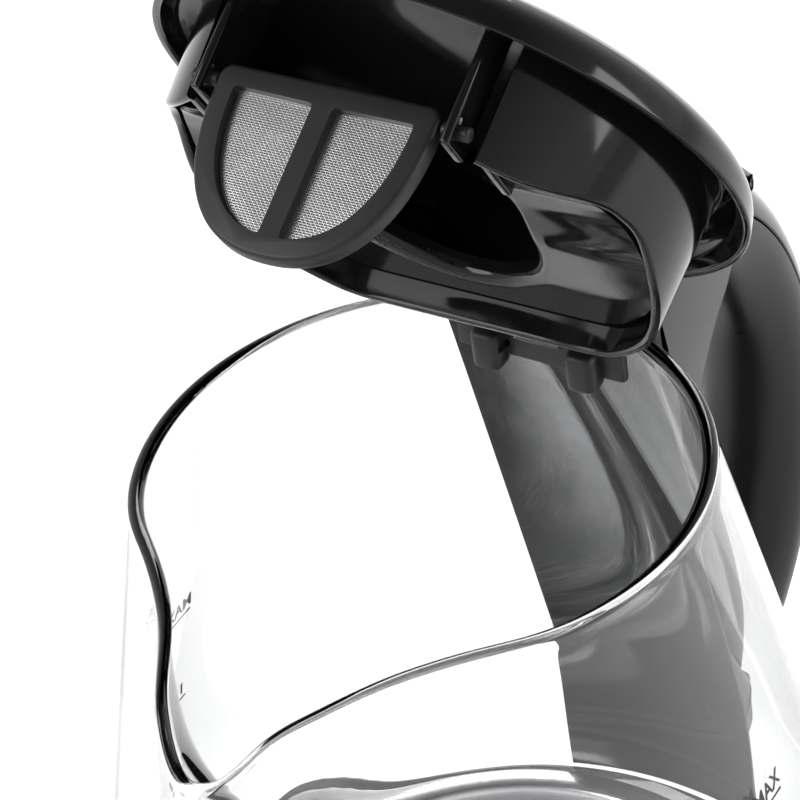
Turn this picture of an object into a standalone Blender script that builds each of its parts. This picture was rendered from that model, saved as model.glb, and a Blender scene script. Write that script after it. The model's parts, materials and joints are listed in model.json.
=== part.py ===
"""Electric kettle: a glass jug with a sprung hinged lid on a cordless power base.

Sizes are in millimetres and become metres as each mesh is written. +Z is up, the handle is
towards +X, the spout towards -X, and the origin is on the jug's axis at the table. The lid is
modelled closed about its hinge and stands open in the assembly.
"""

import math

import bmesh
import bpy
import numpy as np

MM = 0.001
GAP = 0.3  # clearance between pieces that touch
SCREW_SHANK = 1.4
SCREW_HEAD = 3.0
SCREW_HEAD_HEIGHT = 1.6
BOSS_RADIUS = 4.0
ROUND = 36  # segments of the large turned pieces
SMALL_ROUND = 9  # segments of pins, screws and bores

# Power base
BASE_RADIUS = 75.0
BASE_HEIGHT = 18.0
BASE_WALL = 2.2
PLATE_LIFT = 1.2  # underside of the base plate above the table
FOOT_RADIUS = 6.0
FOOT_CIRCLE = 60.0
BASE_SCREW_CIRCLE = 44.0
BASE_SCREW_LENGTH = 11.0
POST_RADIUS = 13.6
POST_HEIGHT = 15.0
GLAND_RADIUS = 3.4
GLAND_HEIGHT = 8.6
SWIVEL_INNER = 22.0
SWIVEL_WIDTH = 5.0
SWIVEL_HEIGHT = 3.4

# Glass jug
JUG_DEPTH = 159.0
RIM_RADIUS = 55.0  # centre line of the rounded rim
BEAD_RADIUS = 1.6
GLASS_WALL = 2.6
FLARE = math.radians(12.0)
SHOULDER_RADIUS = 110.0
STRAIGHT_WALL = 10.0
FOOT_FILLET = 16.0
LIP_RADIUS = 60.0
SPOUT_REACH = 28.0
SPOUT_HALF_ANGLE = math.radians(15.9)
SPOUT_POWER = 1.7
SPOUT_DEPTH = 42.0
TIP_DROP = 8.0
TIP_HALF_ANGLE = math.radians(6.7)
SHOULDER_DIP = 1.3
SHOULDER_ANGLE = math.radians(41.0)
SHOULDER_HALF_ANGLE = math.radians(12.7)

# Kettle base and heater
COLLAR_HEIGHT = 27.6  # from the collar's lower edge to the glass
COLLAR_WALL = 2.6
COVER_THICKNESS = 2.0
COVER_SCREW_CIRCLE = 62.0
COVER_SCREW_LENGTH = 12.0
SEAL_THICKNESS = 1.5
PLATE_THICKNESS = 1.0
PLATE_RISE = 5.3
RING_HEIGHT = 11.0
RING_WIDTH = 8.2
RING_RADIUS = 65.5
SPREADER_THICKNESS = 3.4
ELEMENT_CIRCLE = 38.0
ELEMENT_TUBE = 3.3
CONNECTOR_WALL = 4.0
CONTROL_RADIUS = 25.0

# Lid
HINGE_BACK = RIM_RADIUS + 9.3  # hinge axis behind the jug's axis
HINGE_RISE = 10.2  # hinge axis above the rim
LID_OPEN = math.radians(60.0)
SKIRT_RADIUS = RIM_RADIUS + 3.9
SKIRT_CLEARANCE = 2.3  # skirt's lower edge above the rim plane
SHELL_WALL = 1.7
DOME_RISE = 17.2
DECK_RISE = 8.5
DECK_THICKNESS = 1.6
LID_SCREW_X = 22.0
LID_SCREW_Y = 30.0
LID_SCREW_LENGTH = 7.0
LID_SCREW_HEAD = 2.6
PLUG_RADIUS = RIM_RADIUS - 4.3
DECK_RADIUS = PLUG_RADIUS + 0.7
PLUG_TAPER = 1.4
PLUG_WALL = 2.0
PLUG_REAR = RIM_RADIUS - 14.2  # flat rear of the plug, clear of the hinge bracket
PLUG_DEPTH = 19.8
FLOOR_FRONT = 17.0
FLOOR_CREST = 12.0  # highest part of the floor, beside the bay
FLOOR_DEPTH = 14.0
FLOOR_THICKNESS = 1.8
BAY_ROOM = 6.4  # from the filter's edge to the bay's wall
OPENING_X = 34.0
OPENING_Y = 25.0
OPENING_CENTRE = -2.0
NOTCH_X = RIM_RADIUS - 8.0
NOTCH_HALF_WIDTH = 30.0
EAR_INNER = 17.6
EAR_THICKNESS = 4.4
EAR_RADIUS = 7.0
PIN_RADIUS = 2.0
PIN_CLEARANCE = 0.35

# Spout filter
FILTER_X = -42.0
FILTER_THICKNESS = 4.0
FILTER_HALF_WIDTH = 22.2
FILTER_TOP = -10.5
FILTER_HEIGHT = 33.5
FILTER_BORDER = 4.0
RIB_WIDTH = 4.0
MESH_THICKNESS = 0.4
PIVOT_DROP = 3.0
PIVOT_RADIUS = 1.4
BRACKET_PLATE = 1.8

# Hinge bracket, latch and button
BRACKET_FACE = RIM_RADIUS - 8.5
BRACKET_HALF_WIDTH = 19.0
BRIDGE_HALF_WIDTH = 16.5
BRIDGE_TOP = 5.4
BLOCK_BOTTOM = -8.0
BUMP_WIDTH = 6.5
BUMP_SPACING = 21.4
BUMP_PROUD = 4.0
KNUCKLE_RADIUS = 6.5
KNUCKLE_INNER = 7.0
KNUCKLE_OUTER = 12.0
LATCH_HALF_WIDTH = 5.5
LATCH_BOTTOM = 5.9
LATCH_THICKNESS = 1.9
BUTTON_LENGTH = 18.0
BUTTON_HALF_WIDTH = 9.4
BUTTON_X = HINGE_BACK + 12.9
BUTTON_TOP = 20.6
BUTTON_THICKNESS = 5.0

# Handle
SPINE_HALF_WIDTH = 24.6
SPINE_THICKNESS = 3.4
SPINE_DEPTH = 158.0  # lower end of the spine below the rim, beside the collar
HANDLE_REACH = RIM_RADIUS + 93.5  # outermost point of the grip from the jug's axis
GRIP_CURVE = [(31, 11), (20, 20.5), (9.6, 35), (2.4, 53), (0, 73), (2.5, 93), (9.5, 111), (20, 123.5),
              (32, 131)]  # centre line, inwards from its outermost point and below the rim
GRIP_HALF_WIDTH = 13.5
GRIP_HALF_DEPTH = 12.0
GRIP_WALL = 2.4
PARTING_ANGLE = math.radians(14.0)
GRIP_STEPS = 14
HEAD_HALF_WIDTH = 17.0
FOOT_HALF_WIDTH = 14.5
TUBE_RADIUS = 3.2
TUBE_WALL = 0.9
LEVER_HALF_WIDTH = 8.5

# Levels worked out from the sizes above
COLLAR_BOTTOM = BASE_HEIGHT + 0.4
GLASS_BOTTOM = COLLAR_BOTTOM + COLLAR_HEIGHT
RIM = GLASS_BOTTOM + JUG_DEPTH
COVER_BOTTOM = BASE_HEIGHT + SWIVEL_HEIGHT + 2 * GAP
CONNECTOR_INNER = POST_RADIUS + 1.2
CONNECTOR_OUTER = CONNECTOR_INNER + CONNECTOR_WALL
SEAL_LOW = GLASS_BOTTOM + GLASS_WALL + GAP
FLANGE_LOW = SEAL_LOW + SEAL_THICKNESS + GAP
RING_LOW = FLANGE_LOW + PLATE_THICKNESS + GAP
RING_INNER = RING_RADIUS - RING_WIDTH
PLATE_TOP = FLANGE_LOW + PLATE_RISE + PLATE_THICKNESS
LID_SCREWS = [(LID_SCREW_X, -LID_SCREW_Y), (LID_SCREW_X, LID_SCREW_Y)]
HINGE = (HINGE_BACK, 0.0, RIM + HINGE_RISE)
BAY_HALF_WIDTH = FILTER_HALF_WIDTH + BAY_ROOM
PIVOT = (FILTER_X, 0.0, RIM + FILTER_TOP - PIVOT_DROP)

FINISHES = {
    "black_gloss": ((0.012, 0.012, 0.013), 0.18, 0.0),
    "black_satin": ((0.02, 0.02, 0.021), 0.42, 0.0),
    "glass": ((0.93, 0.95, 0.95), 0.03, 0.0),
    "clear_plastic": ((0.75, 0.76, 0.76), 0.12, 0.0),
    "steel": ((0.62, 0.62, 0.63), 0.28, 1.0),
    "spring_steel": ((0.45, 0.45, 0.46), 0.35, 1.0),
    "aluminium": ((0.72, 0.73, 0.74), 0.4, 1.0),
    "brass": ((0.72, 0.55, 0.28), 0.35, 1.0),
    "rubber": ((0.05, 0.05, 0.05), 0.8, 0.0),
    "silicone": ((0.55, 0.55, 0.56), 0.6, 0.0),
    "filter_grey": ((0.06, 0.06, 0.065), 0.5, 0.0),
}


def clear_scene():
    for obj in list(bpy.data.objects):
        bpy.data.objects.remove(obj)


def material(finish):
    """The named finish as a Principled material, made once."""
    found = bpy.data.materials.get(finish)
    if found:
        return found
    color, roughness, metallic = FINISHES[finish]
    made = bpy.data.materials.new(finish)
    made.use_nodes = True
    shader = made.node_tree.nodes["Principled BSDF"]
    shader.inputs["Base Color"].default_value = (*color, 1.0)
    shader.inputs["Roughness"].default_value = roughness
    shader.inputs["Metallic"].default_value = metallic
    return made


def pivot(name, at, parent=None, parent_at=(0, 0, 0), turn=0.0):
    """An empty on a joint's axis, turned about Y; the places are in the closed assembly."""
    empty = bpy.data.objects.new(name, None)
    bpy.context.scene.collection.objects.link(empty)
    empty.location = [(a - b) * MM for a, b in zip(at, parent_at)]
    empty.rotation_euler = (0.0, turn, 0.0)
    empty.parent = parent
    return empty


def solid(name, shape, finish, parent=None, at=(0, 0, 0)):
    """An object from (points, faces) in the closed assembly, with its origin at the pivot."""
    points, faces = shape
    mesh = bpy.data.meshes.new(name)
    mesh.from_pydata(((np.asarray(points) - at) * MM).tolist(), [], faces)
    bm = bmesh.new()
    bm.from_mesh(mesh)
    bmesh.ops.recalc_face_normals(bm, faces=bm.faces)
    bm.to_mesh(mesh)
    bm.free()
    mesh.shade_smooth()
    mesh.set_sharp_from_angle(angle=math.radians(35))
    mesh.materials.append(material(finish))
    obj = bpy.data.objects.new(name, mesh)
    bpy.context.scene.collection.objects.link(obj)
    obj.parent = parent
    return obj


def boolean(target, shapes, operation, at=(0, 0, 0)):
    """Joins or cuts each shape with the target; the helpers stay hidden."""
    for index, shape in enumerate(shapes):
        helper = solid(f"{target.name}_{operation.lower()}_{index}", shape, "steel", target.parent, at)
        helper.hide_render = True
        helper.display_type = "WIRE"
        modifier = target.modifiers.new(helper.name, "BOOLEAN")
        modifier.operation = operation
        modifier.object = helper


def join(target, shapes, at=(0, 0, 0)):
    boolean(target, shapes, "UNION", at)


def cut(target, shapes, at=(0, 0, 0)):
    boolean(target, shapes, "DIFFERENCE", at)


def turned(profile, segments=ROUND, axis="z", at=(0, 0, 0)):
    """A closed (radius, height) profile turned about an axis; it may start and end on the axis."""
    points, rows = [], []
    for radius, height in profile:
        if radius < 1e-6:
            rows.append([len(points)] * segments)
            points.append((0.0, 0.0, height))
            continue
        rows.append(list(range(len(points), len(points) + segments)))
        for k in range(segments):
            angle = 2 * math.pi * k / segments
            points.append((radius * math.cos(angle), radius * math.sin(angle), height))
    faces = []
    for row, after in zip(rows, rows[1:] + rows[:1]):
        if row[0] == row[1] and after[0] == after[1]:
            continue
        for k in range(segments):
            n = (k + 1) % segments
            face = [row[k], row[n], after[n], after[k]]
            faces.append(list(dict.fromkeys(face)))
    place = {"z": (0, 1, 2), "x": (2, 0, 1), "y": (1, 2, 0)}[axis]
    return np.array(points)[:, place] + at, faces


def cylinder(radius, low, high, axis="z", at=(0, 0, 0), segments=SMALL_ROUND):
    return turned([(0, low), (radius, low), (radius, high), (0, high)], segments, axis, at)


def loft(rings, closed=False):
    """Skins equal closed loops in order, and caps the ends unless the last joins the first."""
    rings = np.asarray(rings, float)
    count, size = rings.shape[:2]
    faces = []
    for i in range(count if closed else count - 1):
        a, b = i * size, (i + 1) % count * size
        for k in range(size):
            n = (k + 1) % size
            faces.append([a + k, a + n, b + n, b + k])
    if not closed:
        faces.append(list(range(size)))
        faces.append(list(range((count - 1) * size, count * size)))
    return rings.reshape(-1, 3), faces


def extruded(outline, low, high, axis="y"):
    """An outline in the plane across an axis, made a plate between two places on it."""
    outline = np.asarray(outline, float)
    rings = []
    for place in (low, high):
        along = np.full(len(outline), place)
        columns = {"y": (0, None, 1), "x": (None, 0, 1), "z": (0, 1, None)}[axis]
        rings.append(np.stack([along if c is None else outline[:, c] for c in columns], -1))
    return loft(rings)


def block(x, y, z):
    """A box between pairs of places on each axis."""
    return extruded([(x[0], z[0]), (x[1], z[0]), (x[1], z[1]), (x[0], z[1])], y[0], y[1])


def arc(centre, radius, start, end, steps):
    """Points on an arc in the plane of a profile, with angles in degrees."""
    angles = np.radians(np.linspace(start, end, steps))
    return [(centre[0] + radius * math.cos(a), centre[1] + radius * math.sin(a)) for a in angles]


def smooth_curve(points, steps):
    """Points evenly along a Catmull-Rom curve through a few chosen ones."""
    p = np.asarray(points, float)
    p = np.vstack([2 * p[0] - p[1], p, 2 * p[-1] - p[-2]])
    fine = []
    for a, b, c, d in zip(p, p[1:], p[2:], p[3:]):
        t = np.linspace(0, 1, 24, endpoint=False)[:, None]
        fine.append(0.5 * (2 * b + (c - a) * t + (2 * a - 5 * b + 4 * c - d) * t**2
                           + (3 * b - a - 3 * c + d) * t**3))
    fine = np.vstack([*fine, p[-2:-1]])
    length = np.concatenate([[0], np.cumsum(np.linalg.norm(np.diff(fine, axis=0), axis=1))])
    wanted = np.linspace(0, length[-1], steps)
    return np.stack([np.interp(wanted, length, column) for column in fine.T], -1)


def around(circle, count, start=0.0):
    """Places evenly round a circle about the jug's axis."""
    angles = [start + 2 * math.pi * k / count for k in range(count)]
    return [(circle * math.cos(a), circle * math.sin(a)) for a in angles]


def smoothstep(t):
    t = np.clip(t, 0.0, 1.0)
    return t * t * (3 - 2 * t)


# Jug shape

SHOULDER_END = JUG_DEPTH - FOOT_FILLET - STRAIGHT_WALL
SHOULDER_START = SHOULDER_END - SHOULDER_RADIUS * math.sin(FLARE)
MOUTH_RADIUS = RIM_RADIUS + GLASS_WALL / 2
CONE_END_RADIUS = MOUTH_RADIUS + SHOULDER_START * math.tan(FLARE)
BODY_RADIUS = CONE_END_RADIUS + SHOULDER_RADIUS * (1 - math.cos(FLARE))
WALL_END = JUG_DEPTH - FOOT_FILLET


def jug_radius(depth):
    """Outer radius of the glass at a depth below the rim, down to the foot fillet."""
    if depth <= SHOULDER_START:
        return MOUTH_RADIUS + depth * math.tan(FLARE)
    if depth < SHOULDER_END:
        rest = SHOULDER_END - depth
        return BODY_RADIUS - SHOULDER_RADIUS + math.sqrt(SHOULDER_RADIUS**2 - rest**2)
    below = max(0.0, depth - (JUG_DEPTH - FOOT_FILLET))
    return BODY_RADIUS - FOOT_FILLET + math.sqrt(max(0.0, FOOT_FILLET**2 - below**2))


def glass_profile():
    """(radius, depth) round the wall: down the outside, under the lip and up the inside."""
    depths = [7, 17, 29, SPOUT_DEPTH, 70, SHOULDER_START, SHOULDER_END, JUG_DEPTH - FOOT_FILLET]
    outside = [(jug_radius(d), d) for d in depths]
    centre = (BODY_RADIUS - FOOT_FILLET, JUG_DEPTH - FOOT_FILLET)
    fillet = arc(centre, FOOT_FILLET, 30, 90, 3)
    inner_fillet = arc(centre, FOOT_FILLET - GLASS_WALL, 90, 30, 3)
    lip = [(LIP_RADIUS, JUG_DEPTH), (LIP_RADIUS, JUG_DEPTH - GLASS_WALL)]
    inside = [(r - GLASS_WALL, d) for r, d in reversed(outside)]
    bead = arc((RIM_RADIUS, 0.0), BEAD_RADIUS, 160, 380, 5)
    return [*outside, *fillet, *lip, *inner_fillet, *inside, *bead]


def spout_fade(depth):
    return 1 - smoothstep(np.maximum(depth, 0) / SPOUT_DEPTH)


def glass_point(radius, depth, angle):
    """A point of the jug at an angle from the spout, drawn out and down into the spout."""
    turn = np.abs(angle)
    fade = spout_fade(depth)
    reach = SPOUT_REACH * np.exp(-((turn / SPOUT_HALF_ANGLE) ** SPOUT_POWER))
    dip = SHOULDER_DIP * np.exp(-(((turn - SHOULDER_ANGLE) / SHOULDER_HALF_ANGLE) ** 2))
    drop = TIP_DROP * np.exp(-((turn / TIP_HALF_ANGLE) ** 2.8))
    out = radius + (reach - dip) * fade
    return np.stack([-out * np.cos(angle), out * np.sin(angle), RIM - depth - drop * fade], -1)


def make_jug():
    even = np.linspace(-math.pi, math.pi, 44, endpoint=False)
    angles = even - 0.55 * np.sin(even)  # closer together at the spout
    rings = [[glass_point(r, d, a) for r, d in glass_profile()] for a in angles]
    return solid("glass_jug", loft(rings, closed=True), "glass")


# Power base

def screw(name, x, y, head_low, length, head_radius=SCREW_HEAD, parent=None, at=(0, 0, 0)):
    """A pan-head screw pointing up, with a cross recess left to the finish."""
    neck, tip = head_low + SCREW_HEAD_HEIGHT, head_low + length
    profile = [(0, head_low), (head_radius, head_low), (head_radius, neck), (SCREW_SHANK, neck),
               (SCREW_SHANK, tip), (0, tip)]
    return solid(name, turned(profile, SMALL_ROUND, at=(x, y, 0)), "steel", parent, at)


def make_power_base():
    r, h, w = BASE_RADIUS, BASE_HEIGHT, BASE_WALL
    hub = SWIVEL_INNER - 2.0
    outer = [(hub, h), (r - 9, h - 0.4), (r - 2.6, h - 3), (r, h - 8), (r, 2.2)]
    inner = [(r - w, 2.2), (r - w, h - 8.6), (r - 4.2, h - 5.0), (r - 9.6, h - w - 0.6), (hub, h - w)]
    top = solid("power_base_top", turned(outer + inner), "black_gloss")
    spots = around(BASE_SCREW_CIRCLE, 3, math.pi / 3)
    plate_top = PLATE_LIFT + w
    join(top, [cylinder(BOSS_RADIUS, plate_top + GAP, h - w + 0.8, at=(x, y, 0)) for x, y in spots])
    cut(top, [cylinder(SCREW_SHANK + GAP, 0, h - w - 1, at=(x, y, 0)) for x, y in spots])
    cut(top, [cylinder(GLAND_RADIUS + GAP, r - 12, r + 8, "x", (0, 0, GLAND_HEIGHT))])
    plate = solid("power_base_plate", cylinder(r - w - GAP, PLATE_LIFT, plate_top, segments=ROUND),
                  "black_satin")
    cut(plate, [cylinder(SCREW_HEAD + GAP, 0, PLATE_LIFT + w + 1, at=(x, y, 0)) for x, y in spots])
    for k, (x, y) in enumerate(spots):
        screw(f"base_screw_{k + 1}", x, y, PLATE_LIFT + GAP, BASE_SCREW_LENGTH)
    for k, (x, y) in enumerate(around(FOOT_CIRCLE, 4, math.pi / 4)):
        pad = [(0, 0), (FOOT_RADIUS - 0.4, 0), (FOOT_RADIUS, 0.4), (FOOT_RADIUS, PLATE_LIFT - GAP),
               (0, PLATE_LIFT - GAP)]
        solid(f"base_foot_{k + 1}", turned(pad, 18, at=(x, y, 0)), "rubber")
    make_base_connector(hub)
    make_gland()


def make_base_connector(hub):
    """The round male post with its contact slot and centre socket."""
    p, top = POST_RADIUS, BASE_HEIGHT + POST_HEIGHT
    low = BASE_HEIGHT - BASE_WALL - 3.0
    profile = [(0, low), (hub - GAP, low), (hub - GAP, BASE_HEIGHT - GAP), (p, BASE_HEIGHT - GAP),
               (p, top - 1.4), (p - 1.2, top), (p - 4.6, top), (p - 4.6, top - 8), (p - 7.4, top - 8),
               (p - 7.4, top), (3.4, top), (3.4, top - 9), (0, top - 9)]
    solid("base_connector", turned(profile, 26), "black_satin")


def make_gland():
    """The bush in the base's rear wall that a mains lead passes through."""
    g, wall = GLAND_RADIUS, BASE_RADIUS
    profile = [(g - 1.2, wall - 7), (g + 0.9, wall - 7), (g + 0.9, wall - 4.8), (g, wall - 4.8),
               (g, wall + 0.6), (g + 1.0, wall + 0.6), (g + 0.4, wall + 2.4), (g - 1.2, wall + 2.4)]
    solid("cord_gland", turned(profile, 18, "x", (0, 0, GLAND_HEIGHT)), "rubber")


def make_swivel_ring():
    """The loose slip ring that the kettle rests on and that turns with it."""
    a, b = SWIVEL_INNER, SWIVEL_INNER + SWIVEL_WIDTH
    low, high = BASE_HEIGHT + GAP, BASE_HEIGHT + GAP + SWIVEL_HEIGHT
    profile = [(a, low), (b, low), (b, high - 0.8), (b - 0.8, high), (a, high)]
    solid("swivel_ring", turned(profile, 28), "black_satin")


# Kettle base and heater

def make_collar():
    low, top = COLLAR_BOTTOM, GLASS_BOTTOM
    r, w = BODY_RADIUS - 0.6, COLLAR_WALL
    centre = (BODY_RADIUS - FOOT_FILLET, RIM - JUG_DEPTH + FOOT_FILLET)
    seat = arc(centre, FOOT_FILLET + 1.5 * GAP, -50, -90, 4)
    shelf = LIP_RADIUS - 2.5
    outer = [(r - 2.5, low), (r, low + 9), (r, top - 1.5), (r - 1.2, top + 2.2),
             (seat[0][0] + 1.6, top + 3.9)]
    under = [(shelf, seat[-1][1]), (shelf, top - 3.2), (seat[-1][0], top - 3.2), (r - w - 2, top - 6),
             (r - w, top - 9), (r - w, low + 9), (r - w - 2.4, low + 2), (r - w - 2.4, low)]
    collar = solid("base_collar", turned(outer + seat + under), "black_gloss")
    spots = around(COVER_SCREW_CIRCLE, 3, math.radians(35))
    boss_low = COVER_BOTTOM + COVER_THICKNESS + GAP
    join(collar, [cylinder(BOSS_RADIUS, boss_low, top - 2.4, at=(x, y, 0)) for x, y in spots])
    cut(collar, [cylinder(SCREW_SHANK + GAP, 0, top - 6, at=(x, y, 0)) for x, y in spots])
    cover_radius = r - w - 2.4 - 2 * GAP
    cover_inner, cover_top = CONNECTOR_OUTER + GAP, COVER_BOTTOM + COVER_THICKNESS
    cover = [(cover_inner, COVER_BOTTOM), (cover_radius, COVER_BOTTOM), (cover_radius, cover_top),
             (cover_inner, cover_top)]
    under_cover = solid("underside_cover", turned(cover), "black_satin")
    cut(under_cover, [cylinder(SCREW_SHANK + GAP, 0, top, at=(x, y, 0)) for x, y in spots])
    for k, (x, y) in enumerate(spots):
        screw(f"cover_screw_{k + 1}", x, y, COVER_BOTTOM - SCREW_HEAD_HEIGHT - GAP, COVER_SCREW_LENGTH)


def make_heater():
    a, b = RING_INNER, RING_RADIUS
    top = RING_LOW + RING_HEIGHT
    ring = [(a, RING_LOW), (b, RING_LOW), (b, top - 2.5), (b - 1, top - 0.5), (b - 3, top), (a + 1.7, top),
            (a + 0.5, top - 1.5), (a, top - 5)]
    solid("heater_ring", turned(ring, 30), "steel")
    edge, flange_top = a - 1.0, FLANGE_LOW + PLATE_THICKNESS
    plate = [(0, PLATE_TOP), (edge - 1.5, PLATE_TOP), (edge, PLATE_TOP - 1.2), (edge, flange_top),
             (b - 1.5, flange_top), (b - 1.5, FLANGE_LOW), (edge - 1, FLANGE_LOW),
             (edge - 1, PLATE_TOP - 1.8), (edge - 2, PLATE_TOP - 1), (0, PLATE_TOP - 1)]
    solid("heating_plate", turned(plate, 30), "steel")
    seal = [(LIP_RADIUS - 1, SEAL_LOW), (b - 1, SEAL_LOW), (b - 1, SEAL_LOW + SEAL_THICKNESS),
            (LIP_RADIUS - 1, SEAL_LOW + SEAL_THICKNESS)]
    solid("plate_seal", turned(seal, 30), "silicone")
    spreader_top = PLATE_TOP - PLATE_THICKNESS - GAP
    disc = cylinder(edge - 5, spreader_top - SPREADER_THICKNESS, spreader_top, segments=36)
    solid("heat_spreader", disc, "aluminium")
    make_element(spreader_top - SPREADER_THICKNESS - GAP - ELEMENT_TUBE)


def make_element(centre):
    """The C-shaped sheathed element, with its ends turned down to the terminals."""
    turn = np.radians(np.linspace(215, 505, 19))
    path = [(ELEMENT_CIRCLE * math.cos(a), ELEMENT_CIRCLE * math.sin(a), centre) for a in turn]
    rings = []
    for a, place in zip(turn, path):
        out, up = np.array([math.cos(a), math.sin(a), 0.0]), np.array([0.0, 0.0, 1.0])
        spin = 2 * math.pi * np.arange(8) / 8
        rings.append([place + ELEMENT_TUBE * (math.cos(s) * out + math.sin(s) * up) for s in spin])
    element = solid("heating_element", loft(rings), "aluminium")
    ends = [path[1], path[-2]]
    join(element, [cylinder(2.2, centre - 7, centre, at=(x, y, 0), segments=10) for x, y, _ in ends])


def make_control():
    """The kettle's round connector and the thermostat control above it."""
    low, roof = BASE_HEIGHT + 1.4, BASE_HEIGHT + POST_HEIGHT + 1.6
    a, b = CONNECTOR_INNER, CONNECTOR_OUTER
    pin_low = roof - 7.5
    profile = [(0, pin_low), (2.4, pin_low), (2.4, roof), (a, roof), (a, low), (b, low), (b, roof + 2),
               (0, roof + 2)]
    solid("kettle_connector", turned(profile, 26), "black_satin")
    control_low = roof + 2 + GAP
    top = GLASS_BOTTOM - 2.5
    wide = CONTROL_RADIUS
    body = [(0, control_low), (b, control_low), (wide, control_low + 1.5), (wide, top - 2), (wide - 4, top),
            (0, top)]
    solid("thermostat_control", turned(body, 28), "black_satin")
    for side, name in ((-1, "left"), (1, "right")):
        at = (0, side * 11.0, 0)
        dish = [(0, top + GAP), (8, top + GAP), (8, top + GAP + 0.5), (0, top + GAP + 1.3)]
        solid(f"bimetal_disc_{name}", turned(dish, 16, at=at), "brass")


# Handle

def grip_path(steps):
    """Centre line of the grip in the XZ plane, and the unit vectors along and outwards."""
    x = HANDLE_REACH - GRIP_HALF_DEPTH
    line = smooth_curve([(x - inward, RIM - drop) for inward, drop in GRIP_CURVE], steps)
    along = np.gradient(line, axis=0)
    along /= np.linalg.norm(along, axis=1)[:, None]
    out = np.stack([-along[:, 1], along[:, 0]], -1)
    return line, along, out


def grip_section(start, end):
    """A band of the grip's oval wall between two angles, as (across, outwards) points."""
    angles = np.linspace(start, end, 9)
    oval = np.stack([np.cos(angles), np.sin(angles)], -1)
    outer = oval * [GRIP_HALF_WIDTH, GRIP_HALF_DEPTH]
    inner = oval * [GRIP_HALF_WIDTH - GRIP_WALL, GRIP_HALF_DEPTH - GRIP_WALL]
    return np.vstack([outer, inner[::-1]])


def swept(section, steps=GRIP_STEPS):
    line, _, out = grip_path(steps)
    rings = []
    for (x, z), (ox, oz) in zip(line, out):
        rings.append([(x + n * ox, y, z + n * oz) for y, n in section])
    return loft(rings)


def make_grip():
    seam = GAP / GRIP_HALF_WIDTH
    body = grip_section(PARTING_ANGLE - seam, -math.pi - PARTING_ANGLE + seam)
    solid("handle_body", swept(body), "black_satin")
    cover = grip_section(PARTING_ANGLE + seam, math.pi - PARTING_ANGLE - seam)
    solid("handle_cover", swept(cover), "black_gloss")
    make_steam_tube()


def make_steam_tube():
    """The open pipe that leads steam down the grip to the switch."""
    line, _, out = grip_path(12)
    rings = []
    for spin in 2 * math.pi * np.arange(7) / 7:
        sides = []
        for radius in (TUBE_RADIUS, TUBE_RADIUS - TUBE_WALL):
            along = line + radius * math.sin(spin) * out
            sides.append([(x, radius * math.cos(spin), z) for x, z in along])
        rings.append(sides[0] + sides[1][::-1])
    solid("steam_tube", loft(rings, closed=True), "silicone")


def make_spine():
    """The strip up the outside of the glass that carries the handle."""
    depths = np.linspace(5.0, SPINE_DEPTH, 10)
    across = np.linspace(-SPINE_HALF_WIDTH, SPINE_HALF_WIDTH, 7)
    rings = []
    for depth in depths:
        inner = jug_radius(min(depth, WALL_END)) + 1.5 * GAP
        outer = inner + SPINE_THICKNESS
        front = [(math.sqrt(inner**2 - y**2), y, RIM - depth) for y in across]
        back = [(math.sqrt(outer**2 - y**2), y, RIM - depth) for y in across[::-1]]
        rings.append(front + back)
    solid("handle_spine", loft(rings), "black_satin")


def spine_back(depth):
    """How far the spine's outer face stands from the jug's axis, with clearance."""
    return jug_radius(min(depth, WALL_END)) + SPINE_THICKNESS + 3 * GAP


def end_face(first):
    """The grip's first or last cross line in the XZ plane, a clearance beyond its end."""
    line, along, out = grip_path(GRIP_STEPS)
    k, shift = (0, -GAP) if first else (-1, GAP)
    centre = line[k] + along[k] * shift
    return tuple(centre + out[k] * GRIP_HALF_DEPTH), tuple(centre - out[k] * GRIP_HALF_DEPTH)


LEVER_PIVOT = (spine_back(WALL_END) + 12.0, RIM - WALL_END - 3.0)


def make_head():
    """The handle's upper mount, with the channel of the latch and the well of the button."""
    outer, inner = end_face(True)
    back = HINGE_BACK + EAR_RADIUS + 1.9
    x0, x1 = BUTTON_X, BUTTON_X + BUTTON_LENGTH
    outline = [(spine_back(4), RIM - 4), (spine_back(4), RIM + 1.4), (back, RIM + 1.4), (back, RIM + 17),
               (back + 4, RIM + 19), (x1, RIM + 18.2), (x1 + 8.5, RIM + 8.6), outer, inner,
               (spine_back(34) + 21, RIM - 27.5), (spine_back(44) + 12, RIM - 38),
               (spine_back(54) + 5, RIM - 50),
               (spine_back(63), RIM - 63), (spine_back(40), RIM - 40), (spine_back(20), RIM - 20)]
    head = solid("handle_head", extruded(outline, -HEAD_HALF_WIDTH, HEAD_HALF_WIDTH), "black_satin")
    low = RIM + LATCH_BOTTOM - 0.7
    slot = LATCH_HALF_WIDTH + 0.7
    well = BUTTON_HALF_WIDTH + 0.6
    cut(head, [
        block((back - 5, x0 + 2), (-slot, slot), (low, RIM + LATCH_BOTTOM + LATCH_THICKNESS + 0.6)),
        block((x0 - 1.7, x1 + 6), (-well, well), (low, RIM + LATCH_BOTTOM + LATCH_THICKNESS + 0.7)),
        block((x0 - 0.6, x1 + 0.6), (-well, well), (low + 1, RIM + 30)),
    ])
    return head


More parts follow.
